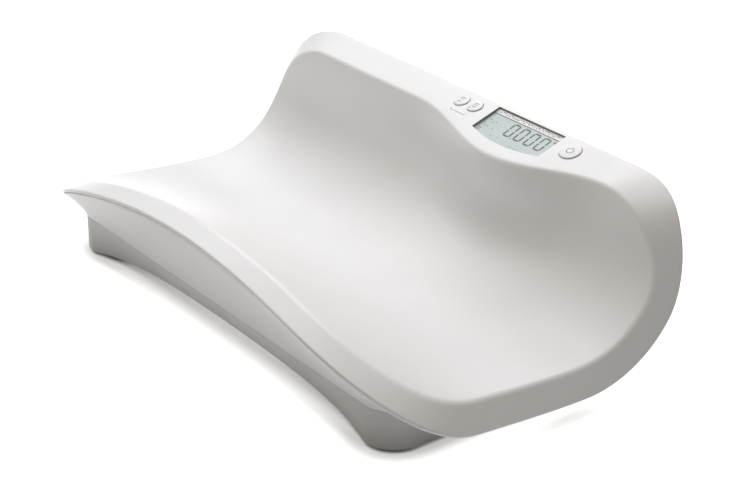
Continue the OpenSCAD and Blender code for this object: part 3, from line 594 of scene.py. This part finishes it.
def skirt_rings():
    """The base's skin: over its floor, up the skirt's inner face, across its top, down its outer
    face, round the arched lower edge, up inside and back under the floor."""
    top, low = base_height(), base_low()
    start, end = skirt_loop(0, top - 0.3), skirt_loop(0, low + EDGE_EASE)
    return np.concatenate([
        [base_shrunk(s, FLOOR_Z + FLOOR_T) for s in (0.02, 0.5, 1)],
        skirt_loop(BASE_WALL, top)[None],
        eased(skirt_loop(BASE_WALL, top), skirt_loop(0, top), start, 3),
        between(start, end, 6), eased(end, skirt_loop(0, low), skirt_loop(EDGE_EASE, low), 5),
        [skirt_loop(EDGE_EASE, low), skirt_loop(BASE_WALL, low), base_shrunk(1, FLOOR_Z),
         base_shrunk(0.5, FLOOR_Z), base_shrunk(0.02, FLOOR_Z)]])


def blocks(name, lows, highs, *materials, ease=0.0):
    """Square blocks from their lowest and highest corners in one mesh, edges broken if asked."""
    lows, highs = np.asarray(lows, float), np.asarray(highs, float)
    pick = np.array([[0, 0, 0], [1, 0, 0], [1, 1, 0], [0, 1, 0],
                     [0, 0, 1], [1, 0, 1], [1, 1, 1], [0, 1, 1]])
    points = lows[:, None] + pick * (highs - lows)[:, None]
    sides = np.array([[0, 3, 2, 1], [4, 5, 6, 7], [0, 1, 5, 4],
                      [1, 2, 6, 5], [2, 3, 7, 6], [3, 0, 4, 7]])
    faces = (np.arange(len(lows))[:, None, None] * 8 + sides).reshape(-1, 4).tolist()
    piece = mesh_piece(name, points.reshape(-1, 3), faces, *materials)
    if ease:
        bevel = piece.modifiers.new("broken edges", "BEVEL")
        bevel.width, bevel.segments, bevel.harden_normals = ease * 0.001, 2, True
    return piece


# Painted shade: the base's plastic is made darker than the white mouldings to stand for the shade under
# the hull.
BASE_SHADE_GREY = satin_plastic("base_moulding_painted_shade", (0.665, 0.66, 0.653), 0.5, 0.00004)
CELL_SCREWS = np.array([[x - np.sign(x) * d, y] for x, y in FEET for d in CELL_SCREWS_IN])
base = closed_piece("base", skirt_rings(), BASE_SHADE_GREY)
round_cuts = [closed_piece(f"cut_{i}", post(x, y, [0.2, r, r, 0.2], [high, high, low, low], 48),
                           BASE_SHADE_GREY)
              for i, (x, y, r, low, high) in enumerate(
                  [(x, y, SOCKET_OPENING, FLOOR_Z - 1, FLOOR_Z + 4) for x, y in FEET]
                  + [(x, y, CELL_HOLE, FLOOR_Z - 1, FLOOR_Z + 8) for x, y in CELL_SCREWS]
                  + [(x, y, CASE_HOLE, FLOOR_Z - 1, FLOOR_Z + 4) for x, y in BOSSES]
                  + [(x, y, CASE_HEAD, FLOOR_Z - 1, FLOOR_Z + 1) for x, y in BOSSES])]
bay_cut = blocks("bay_cut", [[-BAY_LENGTH / 2, BAY_Y - BAY_WIDTH / 2, FLOOR_Z - 1]],
                 [[BAY_LENGTH / 2, BAY_Y + BAY_WIDTH / 2, FLOOR_Z + 4]], BASE_SHADE_GREY)
carved(base, bay_cut, *round_cuts)
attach(base, "scale")
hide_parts("base_frame")

RAIL_Z = (14.6, 19.0)
RAIL_X = (-56.2 - 3, 168.0)
DOOR_HALF = 26.8
rails = blocks("door_rails", [
    [RAIL_X[0], BAY_Y - DOOR_HALF - 2, RAIL_Z[0]], [RAIL_X[0], BAY_Y + DOOR_HALF, RAIL_Z[0]],
    [RAIL_X[0], BAY_Y - DOOR_HALF, RAIL_Z[0]], [RAIL_X[0], BAY_Y + DOOR_HALF - 2, RAIL_Z[0]],
    [RAIL_X[0] - 2, BAY_Y - DOOR_HALF - 2, RAIL_Z[0]]], [
    [RAIL_X[1], BAY_Y - DOOR_HALF, RAIL_Z[1]], [RAIL_X[1], BAY_Y + DOOR_HALF + 2, RAIL_Z[1]],
    [RAIL_X[1], BAY_Y - DOOR_HALF + 2, RAIL_Z[0] + 1.2],
    [RAIL_X[1], BAY_Y + DOOR_HALF, RAIL_Z[0] + 1.2],
    [RAIL_X[0], BAY_Y + DOOR_HALF + 2, RAIL_Z[1]]], BASE_SHADE_GREY, ease=0.25)
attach(rails, "scale")

# ---- Display --------------------------------------------------------------------------------
# A reflective liquid crystal panel in a dark holder, under a clear acrylic pane that is glued into
# the deck's opening, just under its edge. A white strip with small marks runs along its back edge.
PANE_TOP = -1.0
PANE_THICK, PANE_GAP = 1.2, 0.35
GLASS_TOP = PANE_TOP - PANE_THICK - PANE_GAP
DIGIT_HEIGHT, DIGIT_WIDTH, DIGIT_PITCH = 19.5, 9.6, 13.9
DIGIT_BAR, DIGIT_GAP, DIGIT_LEAN = 1.9, 0.22, np.radians(-3)
DIGITS_RIGHT, DIGITS_UP = 8.0, -(WINDOW_BACK + WINDOW_DEPTH - 7.0)
POINT_AFTER, POINT_SIZE = 2.1, 1.7
UNIT_RIGHT = 4.9


def clear_acrylic():
    """The pane: almost clear, with the faint haze of matt acrylic and a gloss that wanders."""
    material = satin_plastic("clear_acrylic", (0.9, 0.93, 0.92), 0.3, 0.000001, 0.01)
    shader = material.node_tree.nodes["Principled BSDF"]
    shader.inputs["Alpha"].default_value = 0.03
    shader.inputs["IOR"].default_value = 1.3
    return material


def panel_glass():
    """The panel's grey-green reflector, with painted light: its colour is made paler towards its right
    end, where the light falls on it. It shows the fine sparkle of a metal film behind glass."""
    material = satin_plastic("panel_glass", (0.5, 0.575, 0.55), 0.4, 0.000004, 0.03)
    nodes, links = material.node_tree.nodes, material.node_tree.links
    shader = nodes["Principled BSDF"]
    old = shader.inputs["Base Color"].links[0].from_socket
    place = nodes.new("ShaderNodeTexCoord").outputs["Object"]
    apart = nodes.new("ShaderNodeSeparateXYZ")
    links.new(place, apart.inputs["Vector"])
    along = nodes.new("ShaderNodeMapRange")
    along.inputs["From Min"].default_value = WINDOW_X * 0.001
    along.inputs["From Max"].default_value = (WINDOW_X + WINDOW_LENGTH) * 0.001
    links.new(apart.outputs["X"], along.inputs["Value"])
    pale = nodes.new("ShaderNodeMix")
    pale.data_type, pale.blend_type = "RGBA", "MULTIPLY"
    pale.inputs["Factor"].default_value = 1
    # Painted light: the colour is multiplied from 0.97 at the window's left end up to 1.04 at its
    # right.
    shade = nodes.new("ShaderNodeMix")
    shade.data_type = "RGBA"
    shade.inputs["A"].default_value = (0.97, 0.97, 0.97, 1)
    shade.inputs["B"].default_value = (1.04, 1.04, 1.05, 1)
    links.new(along.outputs["Result"], shade.inputs["Factor"])
    links.new(old, pale.inputs["A"])
    links.new(shade.outputs["Result"], pale.inputs["B"])
    links.new(pale.outputs["Result"], shader.inputs["Base Color"])
    return material


def dress(material, *names):
    """Gives CAD nodes whose shape is right their finish."""
    for name in names:
        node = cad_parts[name]
        node.data.materials.clear()
        node.data.materials.append(material)


PANEL_GLASS = panel_glass()
HOLDER_BLACK = satin_plastic("holder_moulding", (0.045, 0.043, 0.04), 0.5, 0.00003, 0.1)
STRIP_PRINT = satin_plastic("printed_strip", (0.9, 0.9, 0.895), 0.5, 0.00001)
DARK_PRINT = satin_plastic("dark_print", (0.12, 0.112, 0.1), 0.5, 0.00001, 0.06)
GREY_PRINT = satin_plastic("grey_print", (0.16, 0.15, 0.14), 0.5, 0.00001, 0.05)
FAINT_PRINT = satin_plastic("faint_print", (0.22, 0.21, 0.2), 0.5, 0.00001, 0.05)
SEGMENT_INK = satin_plastic("segment_ink", (0.07, 0.064, 0.057), 0.45, 0.00001, 0.05)
dress(clear_acrylic(), "display_window")
dress(PANEL_GLASS, "lcd_glass")
dress(HOLDER_BLACK, "lcd_frame")
dress(STRIP_PRINT, "legend_strip")


def bar_outlines(ends, width):
    """Six-sided bars with pointed ends, from an array of their end points."""
    ends = np.asarray(ends, float)
    along = unit(ends[:, 1] - ends[:, 0]) * width / 2
    side = np.stack([along[:, 1], -along[:, 0]], -1)
    a, b = ends[:, 0], ends[:, 1]
    return np.stack([a, a + along + side, b - along + side, b, b - along - side, a + along - side], 1)


def digit_outlines(x, up):
    """The six lit bars of a nought whose lower left corner is at x, up, leaning a little."""
    w, h, c = DIGIT_WIDTH, DIGIT_HEIGHT, DIGIT_BAR / 2
    corners = np.array([[c, c], [w - c, c], [w - c, h / 2], [w - c, h - c], [c, h - c], [c, h / 2]])
    ends = np.stack([corners, np.roll(corners, -1, 0)], 1)
    step = unit(ends[:, 1] - ends[:, 0]) * DIGIT_GAP
    bars = bar_outlines(np.stack([ends[:, 0] + step, ends[:, 1] - step], 1), DIGIT_BAR)
    return bars @ np.array([[1, 0], [np.tan(DIGIT_LEAN), 1]]) + [x, up]


digits_x = WINDOW_X + WINDOW_LENGTH - DIGITS_RIGHT - DIGIT_WIDTH - 3 * DIGIT_PITCH
point_x = digits_x + DIGIT_WIDTH + POINT_AFTER
unit_x = WINDOW_X + WINDOW_LENGTH - UNIT_RIGHT
lit = np.concatenate(
    [digit_outlines(digits_x + k * DIGIT_PITCH, DIGITS_UP) for k in range(4)]
    + [bar_outlines([[[point_x - 0.9, DIGITS_UP + 0.8], [point_x + 0.9, DIGITS_UP + 0.8]]],
                    POINT_SIZE)]
    + [bar_outlines([[[unit_x, DIGITS_UP + 15.8], [unit_x, DIGITS_UP + 19.4]],
                     [[unit_x + 0.3, DIGITS_UP + 17.2], [unit_x + 2.1, DIGITS_UP + 19.1]],
                     [[unit_x + 0.3, DIGITS_UP + 17.5], [unit_x + 2.1, DIGITS_UP + 15.9]]], 0.6)])
segments = plates("segments", lit, GLASS_TOP, GLASS_TOP + 0.12, SEGMENT_INK)
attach(segments, "scale")
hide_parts("lcd_segments")


def spread_marks(centres, widths, heights):
    """Small level bars with those middles and sizes, as outlines."""
    centres, w, h = np.asarray(centres, float), np.asarray(widths) / 2, np.asarray(heights) / 2
    corner = np.array([[-1, -1], [1, -1], [1, 1], [-1, 1]])
    return centres[:, None] + corner * np.stack([w, h], -1)[:, None]


# The strip has two broken rows of small marks with a dark line under them, and the panel has nine
# dots, a small frame and four dashes.
chance = np.random.default_rng(4)
STRIP_MARKS = 34
STRIP_MIDDLE, STRIP_ROW, MARK_HEIGHT = 3.1, 0.9, 0.9
LINE_BACK, LINE_WIDTH = 6.2, 1.6
DOT_SIZE = 1.3
strip_x = WINDOW_X + 3 + np.arange(STRIP_MARKS) * (WINDOW_LENGTH - 8) / STRIP_MARKS
strip_marks = spread_marks(
    np.stack([strip_x + chance.uniform(0, 0.8, STRIP_MARKS),
              -WINDOW_BACK - STRIP_MIDDLE + chance.choice([-STRIP_ROW, STRIP_ROW], STRIP_MARKS)], -1),
    chance.uniform(1.0, 2.4, STRIP_MARKS), np.full(STRIP_MARKS, MARK_HEIGHT))
legend_marks = plates("legend_marks", strip_marks, GLASS_TOP + 0.15, GLASS_TOP + 0.23, GREY_PRINT)
strip_line = plates("legend_line", spread_marks(
    [[WINDOW_X + WINDOW_LENGTH / 2, -WINDOW_BACK - LINE_BACK]], [WINDOW_LENGTH - 1], [LINE_WIDTH]),
    GLASS_TOP + 0.01, GLASS_TOP + 0.09, DARK_PRINT)
dot_at = np.array([[6.3, -21], [10.5, -23.5], [14, -21.5], [7.1, -30.5], [10.6, -30],
                   [3.6, -27.2], [18, -30.3], [24.5, -38.8], [33.4, -37.6]])
frame_at = np.array([[5.2, -35.2], [5.2, -38.2], [3.8, -36.7], [6.6, -36.7]])
dash_at = np.array([[54, -42.6], [57.4, -42.5], [60.6, -42.3], [64, -42.0]])
small_dots = plates("panel_dots", np.concatenate([
    spread_marks(dot_at + [WINDOW_X, 0], np.full(9, DOT_SIZE), np.full(9, DOT_SIZE)),
    spread_marks(frame_at + [WINDOW_X, 0], [3.4, 3.4, 0.6, 0.6], [0.6, 0.6, 3.0, 3.0]),
    spread_marks(dash_at + [WINDOW_X, 0], [2.2, 1.8, 2.2, 2.0], [0.5, 0.5, 0.5, 0.5])]),
    GLASS_TOP, GLASS_TOP + 0.05, GREY_PRINT)
for piece in (legend_marks, strip_line, small_dots):
    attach(piece, "scale")

# ---- Buttons --------------------------------------------------------------------------------
# Three round caps moulded in the tray's plastic, each on a stem in a guide under the deck. They
# stand a little above it with a soft edge, in a hairline groove, and carry small printed marks.
CAP_PROUD = 1.5
CAP_DOME = 0.3
CAP_EDGE = 0.9
CAP_LOW = -TRAY_WALL - 0.1
FLANGE_OUT, FLANGE_DROP = 0.9, 1.2
STEM_RADIUS, STEM_LOW = 2.5, -8.25
SIGN_OPENING = 64
PRINT_LINE = 0.9
CAP_WHITE = satin_plastic("button_caps", (0.84, 0.836, 0.83), 0.38, 0.00001)


def cap_height(share):
    """The cap's crown: a shallow bowl upside down, by the square of the distance from its middle."""
    return CAP_PROUD - CAP_DOME * share**2


def cap_rings(x, up, radius):
    """A cap turned about its own axis: the crown, its rounded edge, the straight side, the flange
    that keeps it in the deck, and the stem."""
    flat = radius - CAP_EDGE
    share = np.linspace(0.03, 1, 9)
    turn = np.linspace(0, np.pi / 2, 7)[1:]
    shoulder = cap_height(1.0)
    r = np.concatenate([
        share * flat, flat + CAP_EDGE * np.sin(turn),
        [radius, radius + FLANGE_OUT, radius + FLANGE_OUT,
         STEM_RADIUS, STEM_RADIUS, STEM_RADIUS - 0.4, 0.1]])
    z = np.concatenate([
        cap_height(share), shoulder - CAP_EDGE * (1 - np.cos(turn)),
        [CAP_LOW, CAP_LOW, CAP_LOW - FLANGE_DROP,
         CAP_LOW - FLANGE_DROP, STEM_LOW + 0.4, STEM_LOW, STEM_LOW]])
    a = np.arange(96) / 96 * 2 * np.pi
    r, z = r[:, None], z[:, None]
    return on_deck(np.stack([x + r * np.cos(a), up + r * np.sin(a), z + 0 * a], -1))


def power_sign(x, up, radius, line):
    """The common sign for switching on: a ring open at its top, and a short bar in the opening."""
    a = np.radians(90 + SIGN_OPENING / 2) + np.linspace(0, np.radians(360 - SIGN_OPENING), 41)
    turn = np.stack([np.cos(a), np.sin(a)], -1)
    inner, outer = (radius - line / 2) * turn, (radius + line / 2) * turn
    quads = np.stack([inner[:-1], outer[:-1], outer[1:], inner[1:]], 1)
    bar = spread_marks([[0, radius * 0.85]], [line], [radius * 1.1])
    return np.concatenate([quads, bar]) + [x, up]


for name, body, node, (x, up, radius), marks in (
        ("hold_cap", "hold_cap", "button_hold", HOLD,
         spread_marks([[-0.3, 3.4], [-0.3, 0.9], [-2.6, -2.8], [0.2, -2.8]],
                      [5.4, 4.6, 1.1, 2.6], [PRINT_LINE, PRINT_LINE, 1.3, PRINT_LINE])),
        ("tare_cap", "tare_cap", "button_tare", TARE,
         spread_marks([[0, 3.4], [0, 0.9], [0, -1.7], [-2.6, -4.2]],
                      [5.2, 5.2, 5.2, 1.1], [PRINT_LINE, PRINT_LINE, PRINT_LINE, 1.3])),
        ("power_cap", "power_cap", "button_power", POWER, power_sign(0, 0, 3.6, 0.85))):
    cap = closed_piece(name, cap_rings(x, up, radius), CAP_WHITE, smooth=50)
    print_on = plates(name + "_print", marks + [x, up], CAP_PROUD - CAP_DOME, CAP_PROUD - 0.005,
                      FAINT_PRINT)
    for piece in (cap, print_on):
        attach(piece, body)
    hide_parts(node)

BRACKET_UP = -32.2
middle, half = (HOLD[0] + TARE[0]) / 2, (TARE[0] - HOLD[0]) / 2 + 0.4
bracket = plates("button_bracket", spread_marks(
    [[middle, BRACKET_UP], [middle - half, BRACKET_UP + 1], [middle + half, BRACKET_UP + 1]],
    [2 * half, 0.6, 0.6], [0.6, 2.2, 2.2]), -0.2, 0.015, FAINT_PRINT)
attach(bracket, "scale")

# ---- Electronics under the deck -------------------------------------------------------------
# A green glass-fibre board hangs from two guide brackets by four small screws. It carries the
# switches under the buttons, three chips and the plug that the leads come to.


def circuit_board():
    """Green solder resist: darker lands in long straight runs, from a brick pattern, over a fine
    glass weave."""
    material = satin_plastic("circuit_board", (0.02, 0.16, 0.07), 0.35, 0.00003, 0.1)
    nodes, links = material.node_tree.nodes, material.node_tree.links
    shader = nodes["Principled BSDF"]
    old = shader.inputs["Base Color"].links[0].from_socket
    bricks = nodes.new("ShaderNodeTexBrick")
    links.new(nodes.new("ShaderNodeTexCoord").outputs["Object"], bricks.inputs["Vector"])
    for socket, value in (("Scale", 320.0), ("Mortar Size", 0.09), ("Brick Width", 2.6),
                          ("Row Height", 0.5)):
        bricks.inputs[socket].default_value = value
    runs = nodes.new("ShaderNodeMix")
    runs.data_type = "RGBA"
    runs.inputs["B"].default_value = (0.035, 0.26, 0.11, 1)
    links.new(bricks.outputs["Fac"], runs.inputs["Factor"])
    links.new(old, runs.inputs["A"])
    links.new(runs.outputs["Result"], shader.inputs["Base Color"])
    return material


def bare_metal(name, colour, roughness=0.32, stretch=(1.0, 1.0, 1.0), grain=0.00001):
    """Machined metal: fine lines left by the tool, drawn out along one direction, that catch the
    light and break up its gloss."""
    material = satin_plastic(name, colour, roughness, grain, 0.05)
    nodes, links = material.node_tree.nodes, material.node_tree.links
    shader = nodes["Principled BSDF"]
    shader.inputs["Metallic"].default_value = 1.0
    turn = nodes.new("ShaderNodeMapping")
    turn.inputs["Scale"].default_value = stretch
    lines = nodes.new("ShaderNodeTexNoise")
    lines.inputs["Scale"].default_value = 2500
    links.new(nodes.new("ShaderNodeTexCoord").outputs["Object"], turn.inputs["Vector"])
    links.new(turn.outputs["Vector"], lines.inputs["Vector"])
    links.new(lines.outputs["Fac"], next(n for n in nodes if n.type == "BUMP").inputs["Height"])
    return material


SCREW_STEEL = bare_metal("screw_steel", (0.55, 0.55, 0.56), 0.3)
CHIP_BLACK = satin_plastic("chip_moulding", (0.02, 0.02, 0.022), 0.45, 0.00004, 0.2)
dress(circuit_board(), "main_board")
dress(CHIP_BLACK, "board_chips", "switch_hold", "switch_tare", "switch_power")
dress(SCREW_STEEL, "board_screws")
dress(CAP_WHITE, "guide_left", "guide_right")

# ---- Load cells and feet --------------------------------------------------------------------
# Four milled aluminium bars are screwed to the base at one end and carry a foot at the other: a
# dark socket, a plated screw with a hexagon, and a round rubber pad with a grooved sole.
CELL_METAL = bare_metal("milled_aluminium", (0.7, 0.71, 0.72), 0.38, (0.04, 1.0, 1.0), 0.00002)
SOCKET_PLASTIC = satin_plastic("socket_moulding", (0.06, 0.06, 0.065), 0.5, 0.00004, 0.1)
PAD_RUBBER = rubber("pad_rubber", (0.035, 0.035, 0.037))
PAD_RADIUS, PAD_HEIGHT, PAD_SEAT = 14.0, 4.5, 7.08
dress(CELL_METAL, *[f"load_cell_{i}" for i in range(1, 5)])
dress(SOCKET_PLASTIC, *[f"foot_socket_{i}" for i in range(1, 5)])
dress(SCREW_STEEL, *[f"foot_screw_{i}" for i in range(1, 5)])
for number, (x, y) in enumerate(FEET, 1):
    # The pad, turned from the middle of its seat outwards and round to its sole with two grooves.
    radii = [0.2, PAD_SEAT, PAD_SEAT, PAD_RADIUS - 0.8, PAD_RADIUS - 0.25, PAD_RADIUS, PAD_RADIUS,
             PAD_RADIUS - 0.25, PAD_RADIUS - 0.8, 11.6, 11.2, 10.4, 10, 7.6, 7.2, 6.4, 6, 0.2]
    heights = [2.98, 2.98, PAD_HEIGHT, PAD_HEIGHT, PAD_HEIGHT - 0.25, PAD_HEIGHT - 0.8, 0.8,
               0.25, 0, 0, 0.6, 0.6, 0, 0, 0.6, 0.6, 0, 0]
    pad = closed_piece(f"pad_{number}", post(x, y, radii, heights, 72), PAD_RUBBER, smooth=35)
    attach(pad, "scale")
    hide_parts(f"foot_pad_{number}")

# ---- Batteries ------------------------------------------------------------------------------
# Six standard cells lie end to end in pairs in a dark moulded tray above the base's floor, between
# plated contact plates. A door in the base's darker grey, which is painted shade, slides in under them
# from the right.
dress(satin_plastic("battery_tray", (0.05, 0.05, 0.053), 0.5, 0.00004, 0.1), "battery_holder")
dress(bare_metal("plated_contact", (0.72, 0.7, 0.64), 0.25), "contacts_left", "contacts_right")


def battery_sleeve():
    """The cell's shrunk plastic sleeve: one deep green-grey, glossy, with a glint of the metal can
    under it and a fine grain."""
    material = satin_plastic("battery_sleeve", (0.05, 0.12, 0.1), 0.22, 0.00003, 0.08)
    material.node_tree.nodes["Principled BSDF"].inputs["Metallic"].default_value = 0.35
    return material


dress(battery_sleeve(), *[f"battery_{i}" for i in range(1, 7)])
DOOR_LENGTH, DOOR_WIDTH, DOOR_Z = 112.0, 53.2, (16.0, 18.0)
door_low = [[-DOOR_LENGTH / 2, BAY_Y - DOOR_WIDTH / 2, DOOR_Z[0]]]
door_high = [[DOOR_LENGTH / 2, BAY_Y + DOOR_WIDTH / 2, DOOR_Z[1]]]
GRIP_HALF, GRIP_WIDTH, GRIP_DEPTH = 12, 2, 0.8
grips = DOOR_LENGTH / 2 - 20 + 4.0 * np.arange(-2, 3)
# The door takes the base's grey, which is darkened as painted shade.
door = blocks("battery_cover", door_low, door_high, BASE_SHADE_GREY)
carved(door, *[blocks(f"grip_{i}", [[x, BAY_Y - GRIP_HALF, DOOR_Z[0] - 1]],
                      [[x + GRIP_WIDTH, BAY_Y + GRIP_HALF, DOOR_Z[0] + GRIP_DEPTH]], BASE_SHADE_GREY)
               for i, x in enumerate(grips)])
edge = door.modifiers.new("broken edges", "BEVEL")
edge.width, edge.segments, edge.harden_normals = 0.00025, 2, True
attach(door, "door")
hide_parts("battery_door")

# ---- Screws and leads -----------------------------------------------------------------------
# Steel screws hold the two mouldings and the load cells to the base. Thin leads run from each cell
# and from the batteries across the floor and up behind the trough's wall to the board's plug.
dress(SCREW_STEEL, "case_screws", "cell_screws")
dress(rubber("grey_lead", (0.06, 0.06, 0.065), 0.5), "cell_leads")
dress(rubber("red_lead", (0.32, 0.02, 0.02), 0.5), "battery_lead")

# ---- Floor, light and camera ----------------------------------------------------------------
# A white studio table with no edges in sight, soft square lamps above and behind the left end with
# weak ones behind and in front, and the camera where the photograph's stood: front right, above.
TABLE_WHITE = satin_plastic("studio_table", (0.9, 0.9, 0.9), 0.9, 0.0, 0.0)
# Painted shadow: the table glows white to the camera, but an ambient occlusion node fades the glow out
# close under the scale. This draws a dark contact shadow round it.
TABLE_GLOW = 1.0
PAINTED_SHADOW_REACH = 0.022
OPEN_LOW, OPEN_HIGH = 0.45, 0.97
TABLE_HALF, TABLE_Z = 9000, -0.2
nodes, links = TABLE_WHITE.node_tree.nodes, TABLE_WHITE.node_tree.links
path = nodes.new("ShaderNodeLightPath")
seen = nodes.new("ShaderNodeMath")
seen.operation = "MAXIMUM"
either = nodes.new("ShaderNodeMath")
either.operation = "MAXIMUM"
links.new(path.outputs["Is Camera Ray"], either.inputs[0])
links.new(path.outputs["Is Glossy Ray"], either.inputs[1])
links.new(either.outputs[0], seen.inputs[0])
links.new(path.outputs["Is Transmission Ray"], seen.inputs[1])
# Painted shadow: how near the scale is, read from ambient occlusion, sets the strength of the glow.
painted_shadow_ao = nodes.new("ShaderNodeAmbientOcclusion")
painted_shadow_ao.samples = 24
painted_shadow_ao.inputs["Distance"].default_value = PAINTED_SHADOW_REACH
lift = nodes.new("ShaderNodeMapRange")
lift.inputs["From Min"].default_value = OPEN_LOW
lift.inputs["From Max"].default_value = OPEN_HIGH
lift.inputs["To Max"].default_value = TABLE_GLOW
glow = nodes.new("ShaderNodeEmission")
links.new(painted_shadow_ao.outputs["AO"], lift.inputs["Value"])
links.new(lift.outputs["Result"], glow.inputs["Strength"])
both = nodes.new("ShaderNodeAddShader")
pick = nodes.new("ShaderNodeMixShader")
links.new(nodes["Principled BSDF"].outputs[0], both.inputs[0])
links.new(glow.outputs[0], both.inputs[1])
links.new(seen.outputs[0], pick.inputs[0])
links.new(nodes["Principled BSDF"].outputs[0], pick.inputs[1])
links.new(both.outputs[0], pick.inputs[2])
links.new(pick.outputs[0], nodes["Material Output"].inputs["Surface"])
corners = [[x * TABLE_HALF, y * TABLE_HALF, TABLE_Z] for x, y in ((-1, -1), (1, -1), (1, 1), (-1, 1))]
table_top = mesh_piece("studio_table", corners, [[0, 1, 2, 3]], TABLE_WHITE)

world = bpy.data.worlds.new("studio")
bpy.context.scene.world = world
world.use_nodes = True
nodes, links = world.node_tree.nodes, world.node_tree.links
room = nodes["Background"]
room.inputs["Color"].default_value = (1.0, 0.97, 0.94, 1)
room.inputs["Strength"].default_value = 0.103
backdrop = nodes.new("ShaderNodeBackground")
backdrop.inputs["Color"].default_value = (1, 1, 1, 1)
backdrop.inputs["Strength"].default_value = 1.0
path = nodes.new("ShaderNodeLightPath")
pick = nodes.new("ShaderNodeMixShader")
links.new(path.outputs["Is Camera Ray"], pick.inputs[0])
links.new(room.outputs[0], pick.inputs[1])
links.new(backdrop.outputs[0], pick.inputs[2])
links.new(pick.outputs[0], nodes["World Output"].inputs["Surface"])


def aimed(thing, place, target):
    """Puts a lamp or a camera at a place in mm and turns it to look at a target."""
    place, target = np.array(place, float), np.array(target, float)
    back = unit(place - target)
    side = unit(np.cross([0, 0, 1], back))
    turn = np.eye(4)
    turn[:3, :3] = np.stack([side, np.cross(back, side), back], 1)
    turn[:3, 3] = place * 0.001
    thing.matrix_world = mathutils.Matrix(turn.tolist())
    bpy.context.scene.collection.objects.link(thing)


def softbox(name, place, target, size, watts, colour=(1, 1, 1)):
    """A square lamp of that size in mm."""
    lamp = bpy.data.lights.new(name, "AREA")
    lamp.shape, lamp.size, lamp.energy, lamp.color = "SQUARE", size * 0.001, watts, colour
    aimed(bpy.data.objects.new(name, lamp), place, target)


LAMP_DISTANCE, LAMP_SIZE = 2200, 1200
for name, direction, watts, colour in (
        ("top_lamp", (0, 0.01, 1), 19.1, (1, 0.97, 0.92)),
        ("left_lamp", (-1, 0, 1), 12.6, (0.79, 0.85, 1)),
        ("back_left_lamp", (-0.5, 0.5, 0.7), 22.7, (0.93, 0.935, 1)),
        ("back_lamp", (0, 0.95, 0.3), 9.0, (1, 0.85, 0.67)),
        ("front_left_lamp", (-0.5, -0.5, 0.7), 4.2, (1, 0.92, 0.6))):
    middle = np.array([0, 0, 60.0])
    place = middle + unit(np.array(direction, float)) * LAMP_DISTANCE
    softbox(name, place, middle, LAMP_SIZE, watts, colour)

# The lens and the middle of the view are in pixels of the picture, as the camera was fitted.
IMAGE_WIDTH, SENSOR_WIDTH = 745, 36.0
LENS_PIXELS = 1879.7
MIDDLE_RIGHT, MIDDLE_UP = -7.7, -9.1
LOOK_AT = np.array([0.0, 49.0, 48.4])
AZIMUTH, ELEVATION = np.radians(52.98), np.radians(25.46)
DISTANCE = 1778.0
eye = np.array([np.sin(AZIMUTH) * np.cos(ELEVATION), -np.cos(AZIMUTH) * np.cos(ELEVATION),
                np.sin(ELEVATION)])
camera = bpy.data.cameras.new("camera")
camera.sensor_fit, camera.sensor_width = "HORIZONTAL", SENSOR_WIDTH
camera.lens = LENS_PIXELS / IMAGE_WIDTH * SENSOR_WIDTH
camera.shift_x, camera.shift_y = MIDDLE_RIGHT / IMAGE_WIDTH, MIDDLE_UP / IMAGE_WIDTH
camera.clip_start, camera.clip_end = 0.05, 50
holder = bpy.data.objects.new("camera", camera)
aimed(holder, LOOK_AT + eye * DISTANCE, LOOK_AT)
bpy.context.scene.camera = holder
bpy.context.scene.view_settings.view_transform = "Standard"
